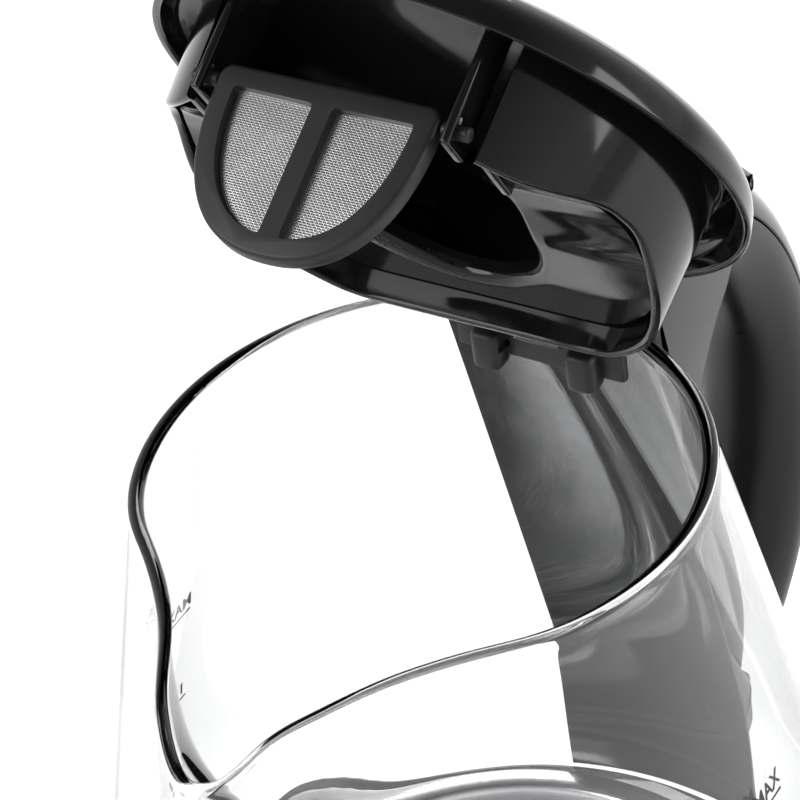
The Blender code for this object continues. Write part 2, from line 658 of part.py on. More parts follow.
def make_foot():
    """The handle's lower mount, with the bay of the steam switch and its lever."""
    outer, inner = end_face(False)
    d = WALL_END + 10
    outline = [(spine_back(104), RIM - 104), (spine_back(108) + 8, RIM - 110), inner, outer,
               (outer[0] - 3, RIM - d + 2), (outer[0] - 8, RIM - d), (spine_back(d), RIM - d),
               (spine_back(WALL_END), RIM - JUG_DEPTH + FOOT_FILLET), (spine_back(126), RIM - 126)]
    foot = solid("handle_foot", extruded(outline, -FOOT_HALF_WIDTH, FOOT_HALF_WIDTH), "black_satin")
    w = LEVER_HALF_WIDTH + 0.8
    x, z = LEVER_PIVOT
    cut(foot, [block((x - 8.5, x + 40), (-w, w), (z - 20, z + 5.2)),
               block((x - 8.5, x + 7), (-w, w), (z - 8, z + 16.5)),
               cylinder(PIVOT_RADIUS + PIN_CLEARANCE, -w - 4, w + 4, "y", (x, 0, z))])


def make_switch():
    """The steam switch, and the on/off lever on its pin at the foot of the handle."""
    x, z = LEVER_PIVOT
    at = (x, 0, z)
    hinge = pivot("lever_axis", at)
    outline = [(x - 4, z + 1), (x - 3, z + 3.6), (x + 1, z + 4.2), (x + 5, z + 2.2), (x + 23, z - 4.2),
               (x + 24, z - 6.6), (x + 21.5, z - 7.6), (x + 4, z - 4), (x, z - 4.2), (x - 3.4, z - 2.6)]
    paddle = extruded(outline, -LEVER_HALF_WIDTH, LEVER_HALF_WIDTH)
    lever = solid("switch_lever", paddle, "black_gloss", hinge, at)
    cut(lever, [cylinder(PIVOT_RADIUS + PIN_CLEARANCE, -20, 20, "y", at)], at)
    w = LEVER_HALF_WIDTH + 4
    solid("lever_pin", cylinder(PIVOT_RADIUS, -w, w, "y", at, 12), "steel")
    solid("steam_switch", block((x - 7.5, x + 6), (-6.5, 6.5), (z + 7.2, z + 13)), "black_satin")
    dish = [(0, z + 13.4), (5.5, z + 13.4), (5.5, z + 13.9), (0, z + 14.8)]
    solid("steam_bimetal", turned(dish, 16, at=(x - 0.8, 0, 0)), "brass")


# Hinge bracket, latch and button

def make_bracket():
    """The moulding that hooks over the rim inside the jug and carries the hinge pin."""
    inside = RIM_RADIUS - BEAD_RADIUS - 1.0
    bridge = block((BRACKET_FACE, HINGE_BACK + 2), (-BRIDGE_HALF_WIDTH, BRIDGE_HALF_WIDTH),
                   (RIM + BEAD_RADIUS + 0.6, RIM + BRIDGE_TOP))
    bracket = solid("hinge_bracket", bridge, "black_satin")
    corner = math.sqrt(inside**2 - BRACKET_HALF_WIDTH**2)
    outline = [(BRACKET_FACE, -BRACKET_HALF_WIDTH), (corner, -BRACKET_HALF_WIDTH), (inside, 0),
               (corner, BRACKET_HALF_WIDTH), (BRACKET_FACE, BRACKET_HALF_WIDTH)]
    hook = extruded(outline, RIM + BLOCK_BOTTOM, RIM + BRIDGE_TOP - 0.4, "z")
    parts = [hook]
    for side in (-1, 1):
        y, half = side * BUMP_SPACING / 2, BUMP_WIDTH / 2
        parts.append(block((BRACKET_FACE - BUMP_PROUD, BRACKET_FACE + 1), (y - half, y + half),
                           (RIM + BLOCK_BOTTOM - 2, RIM + BLOCK_BOTTOM + 7)))
        ends = sorted((side * KNUCKLE_INNER, side * KNUCKLE_OUTER))
        parts.append(cylinder(KNUCKLE_RADIUS, *ends, "y", HINGE, 24))
    join(bracket, parts)
    cut(bracket, [cylinder(PIN_RADIUS + PIN_CLEARANCE, -20, 20, "y", HINGE),
                  block((BRACKET_FACE - 1, BRACKET_FACE + 1.6), (-5.6, 5.6), (RIM - 2.8, RIM + 2.2))])
    clip = block((BRACKET_FACE - 1.2, BRACKET_FACE + 1.2), (-5.2, 5.2), (RIM - 2.4, RIM + 1.8))
    solid("clear_clip", clip, "clear_plastic")


def make_hinge_pin():
    reach = EAR_INNER + EAR_THICKNESS + 1.2
    solid("hinge_pin", cylinder(PIN_RADIUS, -reach, reach, "y", HINGE, 16), "steel")
    for side, name in ((-1, "left"), (1, "right")):
        coil = helix(3.6, 0.55, 3.2, 3.4)
        points, faces = coil
        place = np.stack([points[:, 0], side * (points[:, 2] + KNUCKLE_OUTER + 0.9), points[:, 1]], -1)
        solid(f"lid_spring_{name}", (place + HINGE, faces), "spring_steel")


def helix(radius, wire, turns, height):
    """A round-wire coil about +Z from height 0, as (points, faces)."""
    steps = int(turns * 9)
    turn = 2 * math.pi * turns * np.arange(steps + 1) / steps
    rise = np.linspace(0, height, steps + 1)
    spin = 2 * math.pi * np.arange(5) / 5
    rings = []
    up = np.array([0.0, 0.0, 1.0])
    for a, z in zip(turn, rise):
        out = np.array([math.cos(a), math.sin(a), 0.0])
        centre = radius * out + z * up
        rings.append([centre + wire * (math.cos(s) * out + math.sin(s) * up) for s in spin])
    return loft(rings)


def make_latch():
    """The slide that holds the lid shut, with the window that the button's stem works in."""
    low, high = RIM + LATCH_BOTTOM, RIM + LATCH_BOTTOM + LATCH_THICKNESS
    at = (BUTTON_X, 0, low)
    guide = pivot("latch_slide_axis", at)
    tip = PLUG_REAR + 0.9
    end = BUTTON_X + BUTTON_LENGTH + 3
    w = LATCH_HALF_WIDTH
    bar = block((tip, BUTTON_X + 1), (-w, w), (low, high))
    latch = solid("latch_slide", bar, "black_satin", guide, at)
    join(latch, [block((BUTTON_X - 0.2, end), (-w - 3, w + 3), (low, high - 0.1))], at)
    cut(latch, [block((BUTTON_X + 2.2, end - 2), (-w, w), (low - 3, high + 3))], at)


def make_button():
    x0, x1 = BUTTON_X, BUTTON_X + BUTTON_LENGTH
    top = RIM + BUTTON_TOP
    at = (x0 + BUTTON_LENGTH / 2, 0, top)
    guide = pivot("button_axis", at)
    w = BUTTON_HALF_WIDTH
    low = top - BUTTON_THICKNESS
    outline = [(x0, low), (x1, low), (x1, top - 2), (x1 - 1.5, top - 0.6), (at[0], top),
               (x0 + 1.5, top - 0.6), (x0, top - 2)]
    button = solid("release_button", extruded(outline, -w, w), "black_gloss", guide, at)
    stem_low = RIM + LATCH_BOTTOM + LATCH_THICKNESS + 0.8
    join(button, [block((at[0] - 3, at[0] + 3), (-4, 4), (stem_low, top - BUTTON_THICKNESS + 1))], at)
    points, faces = helix(6.3, 0.55, 3.5, top - BUTTON_THICKNESS - stem_low - 1.6)
    solid("button_spring", (points + (at[0], 0, stem_low + 0.7), faces), "spring_steel")


# Lid, built closed about its hinge

def lid_floor_depth(x):
    """Depth of the floor below the rim: rising from the front to a crest, then level behind."""
    crest = (FLOOR_FRONT - FLOOR_CREST) * smoothstep((x + 38) / 22)
    return FLOOR_FRONT - crest + (FLOOR_DEPTH - FLOOR_CREST) * smoothstep((x + 12) / 16)


def plug_depth(x):
    """Depth of the plug's wall: level with the floor in front, a raised rim behind."""
    return lid_floor_depth(x) + (PLUG_DEPTH - FLOOR_DEPTH) * smoothstep((x + 13) / 38)


def plug_radius(angle, rise, inset=0.0):
    """Radius of the plug at an angle from +X and a height from the rim, with its flat rear."""
    lean = PLUG_TAPER * (DECK_RISE - rise) / (DECK_RISE + PLUG_DEPTH)
    round_wall = PLUG_RADIUS - lean - inset
    rear = PLUG_REAR - inset
    return min(round_wall, rear / math.cos(angle)) if math.cos(angle) > 0.1 else round_wall


def plug_wall():
    """The plug's wall from one side of the bay round the rear to the other."""
    bay = math.pi - math.asin((BAY_HALF_WIDTH + PLUG_WALL / 2) / (PLUG_RADIUS - 1))
    corner = math.acos(PLUG_REAR / PLUG_RADIUS)
    half = np.linspace(corner, bay, 14)
    angles = np.concatenate([-half[::-1], half])
    rings = []
    for a in angles:
        low = -plug_depth(plug_radius(a, 0) * math.cos(a))
        ring = []
        for rise, inset in ((DECK_RISE + 1, 0), (low, 0), (low, PLUG_WALL), (DECK_RISE + 1, PLUG_WALL)):
            r = plug_radius(a, rise, inset)
            ring.append((r * math.cos(a), r * math.sin(a), RIM + rise))
        rings.append(ring)
    return loft(rings)


def ear(side):
    """A hinge lug behind the deck, ending in a round eye on the hinge axis."""
    x, z = HINGE_BACK, RIM + HINGE_RISE
    eye = arc((x, z), EAR_RADIUS, 120, -120, 12)
    outline = [(NOTCH_X - 8, RIM + DECK_RISE + 0.8), (NOTCH_X + 0.8, RIM + DECK_RISE + 0.8), *eye,
               (NOTCH_X + 2, RIM + DECK_RISE - 2.8), (NOTCH_X - 8, RIM + DECK_RISE + 0.2)]
    ends = sorted((side * EAR_INNER, side * (EAR_INNER + EAR_THICKNESS)))
    return extruded(outline, *ends)


def bay_parts():
    """Cheeks beside the filter and the small plates that its pivots turn in."""
    parts = []
    for side in (-1, 1):
        y0, y1 = sorted((side * BAY_HALF_WIDTH, side * (BAY_HALF_WIDTH + PLUG_WALL)))
        front = -math.sqrt((PLUG_RADIUS - PLUG_TAPER - 0.6) ** 2 - (BAY_HALF_WIDTH + PLUG_WALL) ** 2)
        parts.append(block((front, front + 5), (y0, y1), (RIM - FLOOR_FRONT + 2, RIM + DECK_RISE + 1.3)))
        px, _, pz = PIVOT
        plate = sorted((side * (FILTER_HALF_WIDTH + 2), side * (FILTER_HALF_WIDTH + 2 + BRACKET_PLATE)))
        parts.append(block((px - 1.6, px + 5), plate, (pz - 3.4, RIM + DECK_RISE + 0.7)))
    return parts


def make_lid(hinge):
    deck = cylinder(DECK_RADIUS, RIM + DECK_RISE, RIM + DECK_RISE + DECK_THICKNESS, segments=ROUND)
    plug = solid("lid_plug", deck, "black_gloss", hinge, HINGE)
    rear = block((NOTCH_X - 1, 90), (-NOTCH_HALF_WIDTH - 3, NOTCH_HALF_WIDTH + 3), (RIM, RIM + 40))
    cut(plug, [rear], HINGE)
    join(plug, [plug_wall(), *bay_parts(), ear(-1), ear(1)], HINGE)
    holes = [cylinder(PIN_RADIUS + PIN_CLEARANCE, -30, 30, "y", HINGE),
             cylinder(PIVOT_RADIUS + PIN_CLEARANCE, 1 - BAY_HALF_WIDTH, BAY_HALF_WIDTH - 1, "y", PIVOT)]
    for x, y in LID_SCREWS:
        holes.append(cylinder(SCREW_SHANK + GAP, RIM, RIM + 20, at=(x, y, 0)))
    cut(plug, holes, HINGE)
    make_shell(hinge)
    make_floor(hinge)
    for k, (x, y) in enumerate(LID_SCREWS):
        head_low = RIM + DECK_RISE - SCREW_HEAD_HEIGHT - GAP
        screw(f"lid_screw_{k + 1}", x, y, head_low, LID_SCREW_LENGTH, LID_SCREW_HEAD, hinge, HINGE)


def make_shell(hinge):
    r, w, low = SKIRT_RADIUS, SHELL_WALL, RIM + SKIRT_CLEARANCE
    top = RIM + DOME_RISE
    outer = [(0, top), (30, top - 0.7), (44, top - 2.4), (r - 6.4, top - 5.2), (r - 1.3, top - 9), (r, low)]
    inner = [(r - w, low), (r - w - 1.2, top - 9.6), (r - w - 6, top - 6.6), (43.2, top - 4.1),
             (30, top - 0.7 - w), (0, top - w)]
    shell = solid("lid_shell", turned(outer + inner), "black_gloss", hinge, HINGE)
    cut(shell, [block((NOTCH_X, 90), (-NOTCH_HALF_WIDTH, NOTCH_HALF_WIDTH), (RIM - 5, RIM + 40))], HINGE)
    bosses = [cylinder(BOSS_RADIUS - 0.6, RIM + DECK_RISE + DECK_THICKNESS + GAP, top - 2.4, at=(x, y, 0))
              for x, y in LID_SCREWS]
    join(shell, bosses, HINGE)
    cut(shell, [cylinder(SCREW_SHANK + GAP, RIM, top - 3.2, at=(x, y, 0)) for x, y in LID_SCREWS], HINGE)


def floor_rim(angle, inset):
    """A point on the floor's edge inside the plug's wall."""
    r = plug_radius(angle, -FLOOR_DEPTH, PLUG_WALL + inset)
    return r * math.cos(angle), r * math.sin(angle)


def make_floor(hinge):
    """The plug's floor, whose large rounded opening runs into the bay in front."""
    bay = math.pi - math.asin((BAY_HALF_WIDTH + 7) / (PLUG_RADIUS - 1))
    angles = np.linspace(-bay, bay, 31)
    rings = []
    for a in angles:
        ox, oy = floor_rim(a, 3 * GAP)
        ix = OPENING_CENTRE + OPENING_X * math.cos(a)
        iy = OPENING_Y * math.sin(a)
        ring = []
        for x, y, up in ((ox, oy, 0), (ix, iy, 0), (ix - 2 * math.cos(a), iy - 2 * math.sin(a), 3.2),
                         (ix - 0.6 * math.cos(a), iy - 0.6 * math.sin(a), 4.4), (ix + 1.6 * math.cos(a),
                         iy + 1.6 * math.sin(a), FLOOR_THICKNESS), (ox, oy, FLOOR_THICKNESS)):
            ring.append((x, y, RIM - lid_floor_depth(x) + up))
        rings.append(ring)
    solid("lid_floor", loft(rings), "black_gloss", hinge, HINGE)


# Spout filter

def filter_outline(border):
    """The filter's shield shape, inset by a border, as (y, height) points."""
    w = FILTER_HALF_WIDTH - border
    top = RIM + FILTER_TOP - border
    shoulder = RIM + FILTER_TOP - 4.0
    depth = FILTER_HEIGHT - 4.0 - border
    turn = np.linspace(0, math.pi, 17)
    power = 2 / 2.3
    low = [(w * np.sign(math.cos(t)) * abs(math.cos(t)) ** power, shoulder - depth * math.sin(t) ** power)
           for t in turn]
    corner = min(2.5, w / 4)
    if top - shoulder < 0.5:
        return low
    return [(w, top - corner), *low[1:-1], (-w, top - corner), (-w + corner, top), (w - corner, top)]


def window_outline(side, inset):
    """One of the two windows beside the rib, inset by a clearance."""
    rib = RIB_WIDTH / 2 + inset
    whole = filter_outline(FILTER_BORDER + inset)
    half = [(y, z) for y, z in whole if side * y > rib + 1.0]
    heights = [z for y, z in whole if abs(y) < rib + 4]
    top = RIM + FILTER_TOP - FILTER_BORDER - inset
    low = min(heights) + 1.0
    half = sorted(half, key=lambda p: -p[1])
    return [(side * rib, top), *half, (side * rib, low)]


def make_filter(hinge):
    at = PIVOT
    turn = pivot("filter_axis", at, hinge, HINGE)
    x0, x1 = FILTER_X - FILTER_THICKNESS / 2, FILTER_X + FILTER_THICKNESS / 2
    frame = solid("filter_frame", extruded(filter_outline(0.0), x0, x1, "x"), "filter_grey", turn, at)
    cut(frame, [extruded(window_outline(s, 0.0), x0 - 2, x1 + 2, "x") for s in (-1, 1)], at)
    for side, name in ((-1, "right"), (1, "left")):
        front, rear = FILTER_X - MESH_THICKNESS / 2, FILTER_X + MESH_THICKNESS / 2
        sheet = extruded(window_outline(side, GAP), front, rear, "x")
        solid(f"filter_mesh_{name}", sheet, "steel", turn, at)
        ends = sorted((side * (FILTER_HALF_WIDTH + GAP), side * (BAY_HALF_WIDTH - 2 * GAP)))
        pin = cylinder(PIVOT_RADIUS, *ends, "y", PIVOT, 12)
        solid(f"filter_pivot_{name}", pin, "filter_grey", turn, at)


def main():
    clear_scene()
    make_power_base()
    make_swivel_ring()
    make_jug()
    make_collar()
    make_heater()
    make_control()
    make_grip()
    make_spine()
    make_head()
    make_foot()
    make_switch()
    make_bracket()
    make_hinge_pin()
    make_latch()
    make_button()
    hinge = pivot("lid_axis", HINGE, turn=LID_OPEN)
    make_lid(hinge)
    make_filter(hinge)


main()
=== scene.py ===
"""The finished look of a glass electric kettle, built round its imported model.

Every length is in millimetres until a mesh is written, in the model's own frame: +Z up, the handle towards +X and
the spout towards -X. The lid and all that rides on it are shaped closed, and then turned open about the hinge.
"""

from __future__ import annotations

import functools
import json
import logging
import math
import operator
from dataclasses import dataclass, field
from enum import Enum
from typing import Any, Callable, Sequence

import bmesh
import bpy
import numpy as np
from mathutils import Matrix, Vector


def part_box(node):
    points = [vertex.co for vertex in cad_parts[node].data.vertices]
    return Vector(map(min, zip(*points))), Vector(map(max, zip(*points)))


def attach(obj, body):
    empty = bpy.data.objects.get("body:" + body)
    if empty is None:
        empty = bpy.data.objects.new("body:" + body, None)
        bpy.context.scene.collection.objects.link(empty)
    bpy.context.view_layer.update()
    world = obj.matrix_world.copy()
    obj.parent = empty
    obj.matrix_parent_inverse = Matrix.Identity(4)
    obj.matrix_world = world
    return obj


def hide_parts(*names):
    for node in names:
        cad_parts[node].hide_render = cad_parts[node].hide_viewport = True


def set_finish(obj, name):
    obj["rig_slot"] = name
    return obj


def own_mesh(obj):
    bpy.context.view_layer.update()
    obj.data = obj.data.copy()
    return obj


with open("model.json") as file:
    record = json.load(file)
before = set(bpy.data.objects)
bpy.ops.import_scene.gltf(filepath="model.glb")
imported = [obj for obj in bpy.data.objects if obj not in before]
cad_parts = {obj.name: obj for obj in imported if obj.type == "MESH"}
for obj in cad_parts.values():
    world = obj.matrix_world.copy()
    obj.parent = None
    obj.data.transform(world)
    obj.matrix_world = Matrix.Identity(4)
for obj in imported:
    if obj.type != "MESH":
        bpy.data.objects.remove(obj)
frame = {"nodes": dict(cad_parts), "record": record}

LOG = logging.getLogger("kettle")
MM = 0.001
MERGE = 1e-7  # metres; closes poles and seams
SHARP_ANGLE = math.radians(38)
CUTTER_EDGE = 0.01  # a cutter's edges are all but sharp
Pairs = Sequence[Sequence[float]]
Pair = Sequence[float]


class Body(str, Enum):
    """The moving bodies that pieces ride on."""

    POWER_BASE = "power_base"
    SWIVEL = "swivel"
    KETTLE = "kettle"
    LID = "lid"
    FILTER = "filter"
    BUTTON = "button"
    LEVER = "lever"


# Shapes


@dataclass
class Shape:
    """Points in millimetres and the faces between them."""

    points: np.ndarray
    faces: list[list[int]]

    def __add__(self, other: "Shape") -> "Shape":
        """Both shapes as one, with the second one's faces renumbered."""
        shift = len(self.points)
        faces = self.faces + [[i + shift for i in face] for face in other.faces]
        return Shape(np.vstack([self.points, other.points]), faces)

    def mapped(self, rule: Callable[[np.ndarray], np.ndarray]) -> "Shape":
        """The shape with every point sent through a rule for whole arrays."""
        return Shape(rule(self.points), self.faces)

    def moved(self, x: float = 0.0, y: float = 0.0, z: float = 0.0) -> "Shape":
        """The shape moved by a step."""
        return Shape(self.points + np.array([x, y, z]), self.faces)

    def turned_y(self, angle: float, about: Sequence[float]) -> "Shape":
        """The shape turned about a line along Y, by the right-hand rule."""
        c, s = math.cos(angle), math.sin(angle)
        away = self.points - np.asarray(about)
        turned = np.stack([c * away[:, 0] + s * away[:, 2], away[:, 1], c * away[:, 2] - s * away[:, 0]], -1)
        return Shape(turned + np.asarray(about), self.faces)


def grid(points: np.ndarray, wrap_rows: bool = False, wrap_columns: bool = False, caps: bool = False) -> Shape:
    """A skin over rows of points.

    Args:
        points: rows x columns x 3 places.
        wrap_rows: whether the last row joins the first.
        wrap_columns: whether each row is a closed loop.
        caps: whether the first and last rows are closed with a flat face.

    Returns:
        The skin.
    """
    rows, columns = points.shape[:2]
    index = np.arange(rows * columns).reshape(rows, columns)
    first, last = index[0].tolist(), index[-1].tolist()
    if wrap_rows:
        index = np.vstack([index, index[:1]])
    if wrap_columns:
        index = np.hstack([index, index[:, :1]])
    corners = (index[:-1, :-1], index[:-1, 1:], index[1:, 1:], index[1:, :-1])
    faces = np.stack(corners, -1).reshape(-1, 4).tolist()
    if caps:
        faces += [first[::-1], last]
    return Shape(points.reshape(-1, 3), faces)


def fillet(corners: Pairs, radii: float | Sequence[float], steps: int = 5, closed: bool = True) -> np.ndarray:
    """Corners softened by a short curve that leaves each edge at the radius's distance.

    The curve is (1-t)^2 A + 2t(1-t) C + t^2 B from one edge to the next, where C is the corner.

    Args:
        corners: the outline's corners in order.
        radii: one distance, or one for each corner.
        steps: points on each curve.
        closed: whether the last corner joins the first; if not, both ends stay as they are.

    Returns:
        The softened outline.
    """
    p = np.asarray(corners, float)
    r = np.broadcast_to(np.asarray(radii, float), len(p))
    before, after = np.roll(p, 1, 0), np.roll(p, -1, 0)
    back, on = before - p, after - p
    back_length = np.linalg.norm(back, axis=1)[:, None]
    on_length = np.linalg.norm(on, axis=1)[:, None]
    start = p + back / back_length * np.minimum(r[:, None], back_length * 0.48)
    end = p + on / on_length * np.minimum(r[:, None], on_length * 0.48)
    t = np.linspace(0, 1, steps)[None, :, None]
    curve = (1 - t) ** 2 * start[:, None] + 2 * t * (1 - t) * p[:, None] + t**2 * end[:, None]
    if closed:
        return curve.reshape(-1, 2)
    return np.vstack([p[:1], curve[1:-1].reshape(-1, 2), p[-1:]])


def revolve(profile: np.ndarray, segments: int = 128, closed: bool = True, axis: str = "z") -> Shape:
    """A (radius, height) profile turned about an axis: the point is (r cos a, r sin a, h).

    Args:
        profile: the outline; a closed one never touches the axis, an open one starts and ends on it.
        segments: steps of the turn.
        closed: whether the profile's ends join.
        axis: the axis to turn about, through the origin.

    Returns:
        The turned shape.
    """
    turn = 2 * math.pi * np.arange(segments) / segments
    r, h = np.asarray(profile, float).T
    x, y = np.outer(r, np.cos(turn)), np.outer(r, np.sin(turn))
    z = np.repeat(h[:, None], segments, 1)
    order = {"z": (x, y, z), "x": (z, x, y), "y": (y, z, x)}[axis]
    return grid(np.stack(order, -1), wrap_rows=closed, wrap_columns=True)


def turned_solid(corners: Pairs, radius: float, segments: int = 128, axis: str = "z") -> Shape:
    """A turned solid whose corners off the axis are softened by one radius; the profile ends on the axis."""
    return revolve(fillet(corners, radius, closed=False), segments, False, axis)


def turned_ring(corners: Pairs, radii: float | Sequence[float], segments: int = 128, axis: str = "z") -> Shape:
    """A turned ring from a closed profile with softened corners."""
    return revolve(fillet(corners, radii), segments, True, axis)


def rod(radius: float, span: Pair, edge: float = CUTTER_EDGE, segments: int = 40, axis: str = "z") -> Shape:
    """A round rod or disc about an axis, between two places along it."""
    low, high = span
    return turned_solid([(0, low), (radius, low), (radius, high), (0, high)], edge, segments, axis)


def inset(outline: np.ndarray, distance: float) -> np.ndarray:
    """A closed outline, counter-clockwise, moved inwards along its normals."""
    along = np.roll(outline, -1, 0) - np.roll(outline, 1, 0)
    along /= np.maximum(np.linalg.norm(along, axis=1)[:, None], 1e-9)
    return outline - np.stack([along[:, 1], -along[:, 0]], -1) * distance


def upright(plane: str) -> Callable[[np.ndarray, float], np.ndarray]:
    """How an outline's two columns and its height become X, Y and Z in a plane named by its axes."""
    order = {"xz": (0, 2, 1), "xy": (0, 1, 2), "yz": (2, 0, 1)}[plane]

    def place(outline: np.ndarray, height: float) -> np.ndarray:
        """Sets the outline at a height across its plane."""
        level = np.full(len(outline), height)
        return np.stack([outline[:, 0], outline[:, 1], level], -1)[:, order]

    return place


def plate(outline: Pairs, low: float, high: float, edge: float = 0.5, plane: str = "xz") -> Shape:
    """A plate between two heights, whose rim is rounded by quarter circles.

    The rings' inset is e(1 - sin a) and their height is e(1 - cos a) from each face, for a from 0 to 90 degrees.

    Args:
        outline: a closed outline, counter-clockwise.
        low: the lower face's place across the plane.
        high: the upper face's place.
        edge: radius of the rounded rim.
        plane: the outline's axes.

    Returns:
        The closed plate.
    """
    flat = np.asarray(outline, float)
    place = upright(plane)
    turn = np.radians([0, 30, 60, 90])
    insets, rises = edge * (1 - np.sin(turn)), edge * (1 - np.cos(turn))
    rings = [place(inset(flat, i), low + r) for i, r in zip(insets, rises)]
    rings += [place(inset(flat, i), high - r) for i, r in zip(insets[::-1], rises[::-1])]
    return grid(np.stack(rings), wrap_columns=True, caps=True)


def box_outline(a: Sequence[float], b: Sequence[float], radius: float) -> np.ndarray:
    """A rectangle between pairs of places, counter-clockwise, with rounded corners."""
    return fillet([(a[0], b[0]), (a[1], b[0]), (a[1], b[1]), (a[0], b[1])], radius)


def soft_block(x: Sequence[float], y: Sequence[float], z: Sequence[float], radius: float = 0.6) -> Shape:
    """A block between pairs of places, with its upright edges and its rims rounded."""
    return plate(box_outline(x, y, radius * 1.6), z[0], z[1], radius, "xy")


def cutter(x: Pair, z: Pair, half: float) -> Shape:
    """A sharp-edged block to cut with, between pairs of places and as far to each side of the XZ plane."""
    return plate([(x[0], z[0]), (x[1], z[0]), (x[1], z[1]), (x[0], z[1])], -half, half, CUTTER_EDGE)


def to_side(side: int, near: float, far: float) -> list[float]:
    """Two distances from the XZ plane as places on one side of it, lower first."""
    return sorted((side * near, side * far))


def around(radius: float, count: int, start: float) -> list[tuple[float, float]]:
    """Places evenly spaced on a circle about the jug's axis."""
    turns = start + 2 * math.pi * np.arange(count) / count
    return [(radius * math.cos(a), radius * math.sin(a)) for a in turns]


def catmull(points: Pairs, steps: int) -> np.ndarray:
    """Points evenly spaced along a Catmull-Rom curve through a few chosen ones.

    Args:
        points: the places that the curve passes through.
        steps: how many points to return.

    Returns:
        steps x 2 places.
    """
    p = np.asarray(points, float)
    p = np.vstack([2 * p[0] - p[1], p, 2 * p[-1] - p[-2]])
    a, b, c, d = p[:-3, None], p[1:-2, None], p[2:-1, None], p[3:, None]
    t = np.linspace(0, 1, 32, endpoint=False)[None, :, None]
    fine = 0.5 * (2 * b + (c - a) * t + (2 * a - 5 * b + 4 * c - d) * t**2 + (3 * b - a - 3 * c + d) * t**3)
    fine = np.vstack([fine.reshape(-1, p.shape[1]), p[-2:-1]])
    length = np.concatenate([[0], np.cumsum(np.linalg.norm(np.diff(fine, axis=0), axis=1))])
    return np.stack([np.interp(np.linspace(0, length[-1], steps), length, column) for column in fine.T], -1)


def smoothstep(t: np.ndarray | float) -> np.ndarray:
    """The usual ease, 3t^2 - 2t^3, held at its ends."""
    t = np.clip(t, 0.0, 1.0)
    return t * t * (3 - 2 * t)


def tube_along(path: np.ndarray, radius: float, sides: int = 10) -> Shape:
    """A round rod of one radius along a path in space, with flat ends."""
    along = np.gradient(path, axis=0)
    along /= np.linalg.norm(along, axis=1)[:, None]
    helper = np.where(np.abs(along[:, 2:3]) > 0.9, [[1.0, 0.0, 0.0]], [[0.0, 0.0, 1.0]])
    side = np.cross(along, helper)
    side /= np.linalg.norm(side, axis=1)[:, None]
    up = np.cross(side, along)
    turn = 2 * math.pi * np.arange(sides) / sides
    rings = path[:, None] + radius * (side[:, None] * np.cos(turn)[:, None] + up[:, None] * np.sin(turn)[:, None])
    return grid(rings, wrap_columns=True, caps=True)


def coil(radius: float, wire: float, turns: float, height: float, per_turn: int = 28) -> Shape:
    """A round-wire helix about +Z: the centre is (R cos a, R sin a, h a / A), from height 0."""
    turn = np.linspace(0, 2 * math.pi * turns, int(turns * per_turn))
    path = np.stack([radius * np.cos(turn), radius * np.sin(turn), height * turn / turn[-1]], -1)
    return tube_along(path, wire, 8)


# Materials

Color = tuple[float, float, float]


def scaled(color: Color, share: float) -> Color:
    """A colour made darker or lighter by a share."""
    red, green, blue = (min(1.0, c * share) for c in color)
    return red, green, blue


class Recipe:
    """A material's node tree, written one node at a time."""

    def __init__(self, name: str) -> None:
        """Starts an empty tree with its output."""
        self.material = bpy.data.materials.new(name)
        self.material.use_nodes = True
        self.tree = self.material.node_tree
        self.tree.nodes.clear()
        self.output = self.tree.nodes.new("ShaderNodeOutputMaterial")

    def node(self, kind: str, inputs: dict[Any, Any] | None = None, **settings: Any) -> bpy.types.Node:
        """Adds a node.

        Args:
            kind: the node's type, without its ShaderNode prefix.
            inputs: socket name or number to a value, or to the socket that feeds it.
            settings: the node's own settings.

        Returns:
            The node.
        """
        made = self.tree.nodes.new(f"ShaderNode{kind}")
        for key, value in settings.items():
            setattr(made, key, value)
        for key, value in (inputs or {}).items():
            if isinstance(value, bpy.types.NodeSocket):
                self.tree.links.new(value, made.inputs[key])
            else:
                made.inputs[key].default_value = value
        return made

    def math(self, operation: str, *values: Any) -> bpy.types.NodeSocket:
        """The result of a Math node on numbers or sockets."""
        return self.node("Math", dict(enumerate(values)), operation=operation).outputs[0]

    def place(self) -> bpy.types.NodeSocket:
        """Object coordinates, in metres."""
        return self.node("TexCoord").outputs["Object"]

    def noise(self, size: float, detail: float = 2.0, where: bpy.types.NodeSocket | None = None) -> Any:
        """Noise from 0 to 1 whose features are about this many millimetres across."""
        made = self.node("TexNoise", {"Vector": where or self.place(), "Scale": 1 / (size * MM), "Detail": detail})
        return made.outputs[0]

    def span(self, value: Any, low: float, high: float, start: float = 0.0, end: float = 1.0) -> Any:
        """A value between start and end, spread over low to high."""
        inputs = {"Value": value, 1: start, 2: end, 3: low, 4: high}
        return self.node("MapRange", inputs).outputs[0]

    def bump(self, height: Any, depth: float, under: Any = None) -> Any:
        """A normal raised by a height from 0 to 1, where 1 stands this many millimetres proud."""
        inputs = {"Height": height, "Distance": depth * MM, "Strength": 1.0}
        if under is not None:
            inputs["Normal"] = under
        return self.node("Bump", inputs).outputs[0]

    def blend(self, share: Any, low: Color, high: Color) -> Any:
        """A colour between two, by a share from 0 to 1."""
        return self.node("Mix", {0: share, 6: (*low, 1), 7: (*high, 1)}, data_type="RGBA").outputs[2]

    def surface(self, inputs: dict[Any, Any]) -> bpy.types.Material:
        """Ends the tree with one Principled shader."""
        return self.finish(self.node("BsdfPrincipled", inputs).outputs[0])

    def finish(self, shader: bpy.types.NodeSocket) -> bpy.types.Material:
        """Ends the tree with its surface shader."""
        self.tree.links.new(shader, self.output.inputs["Surface"])
        return self.material


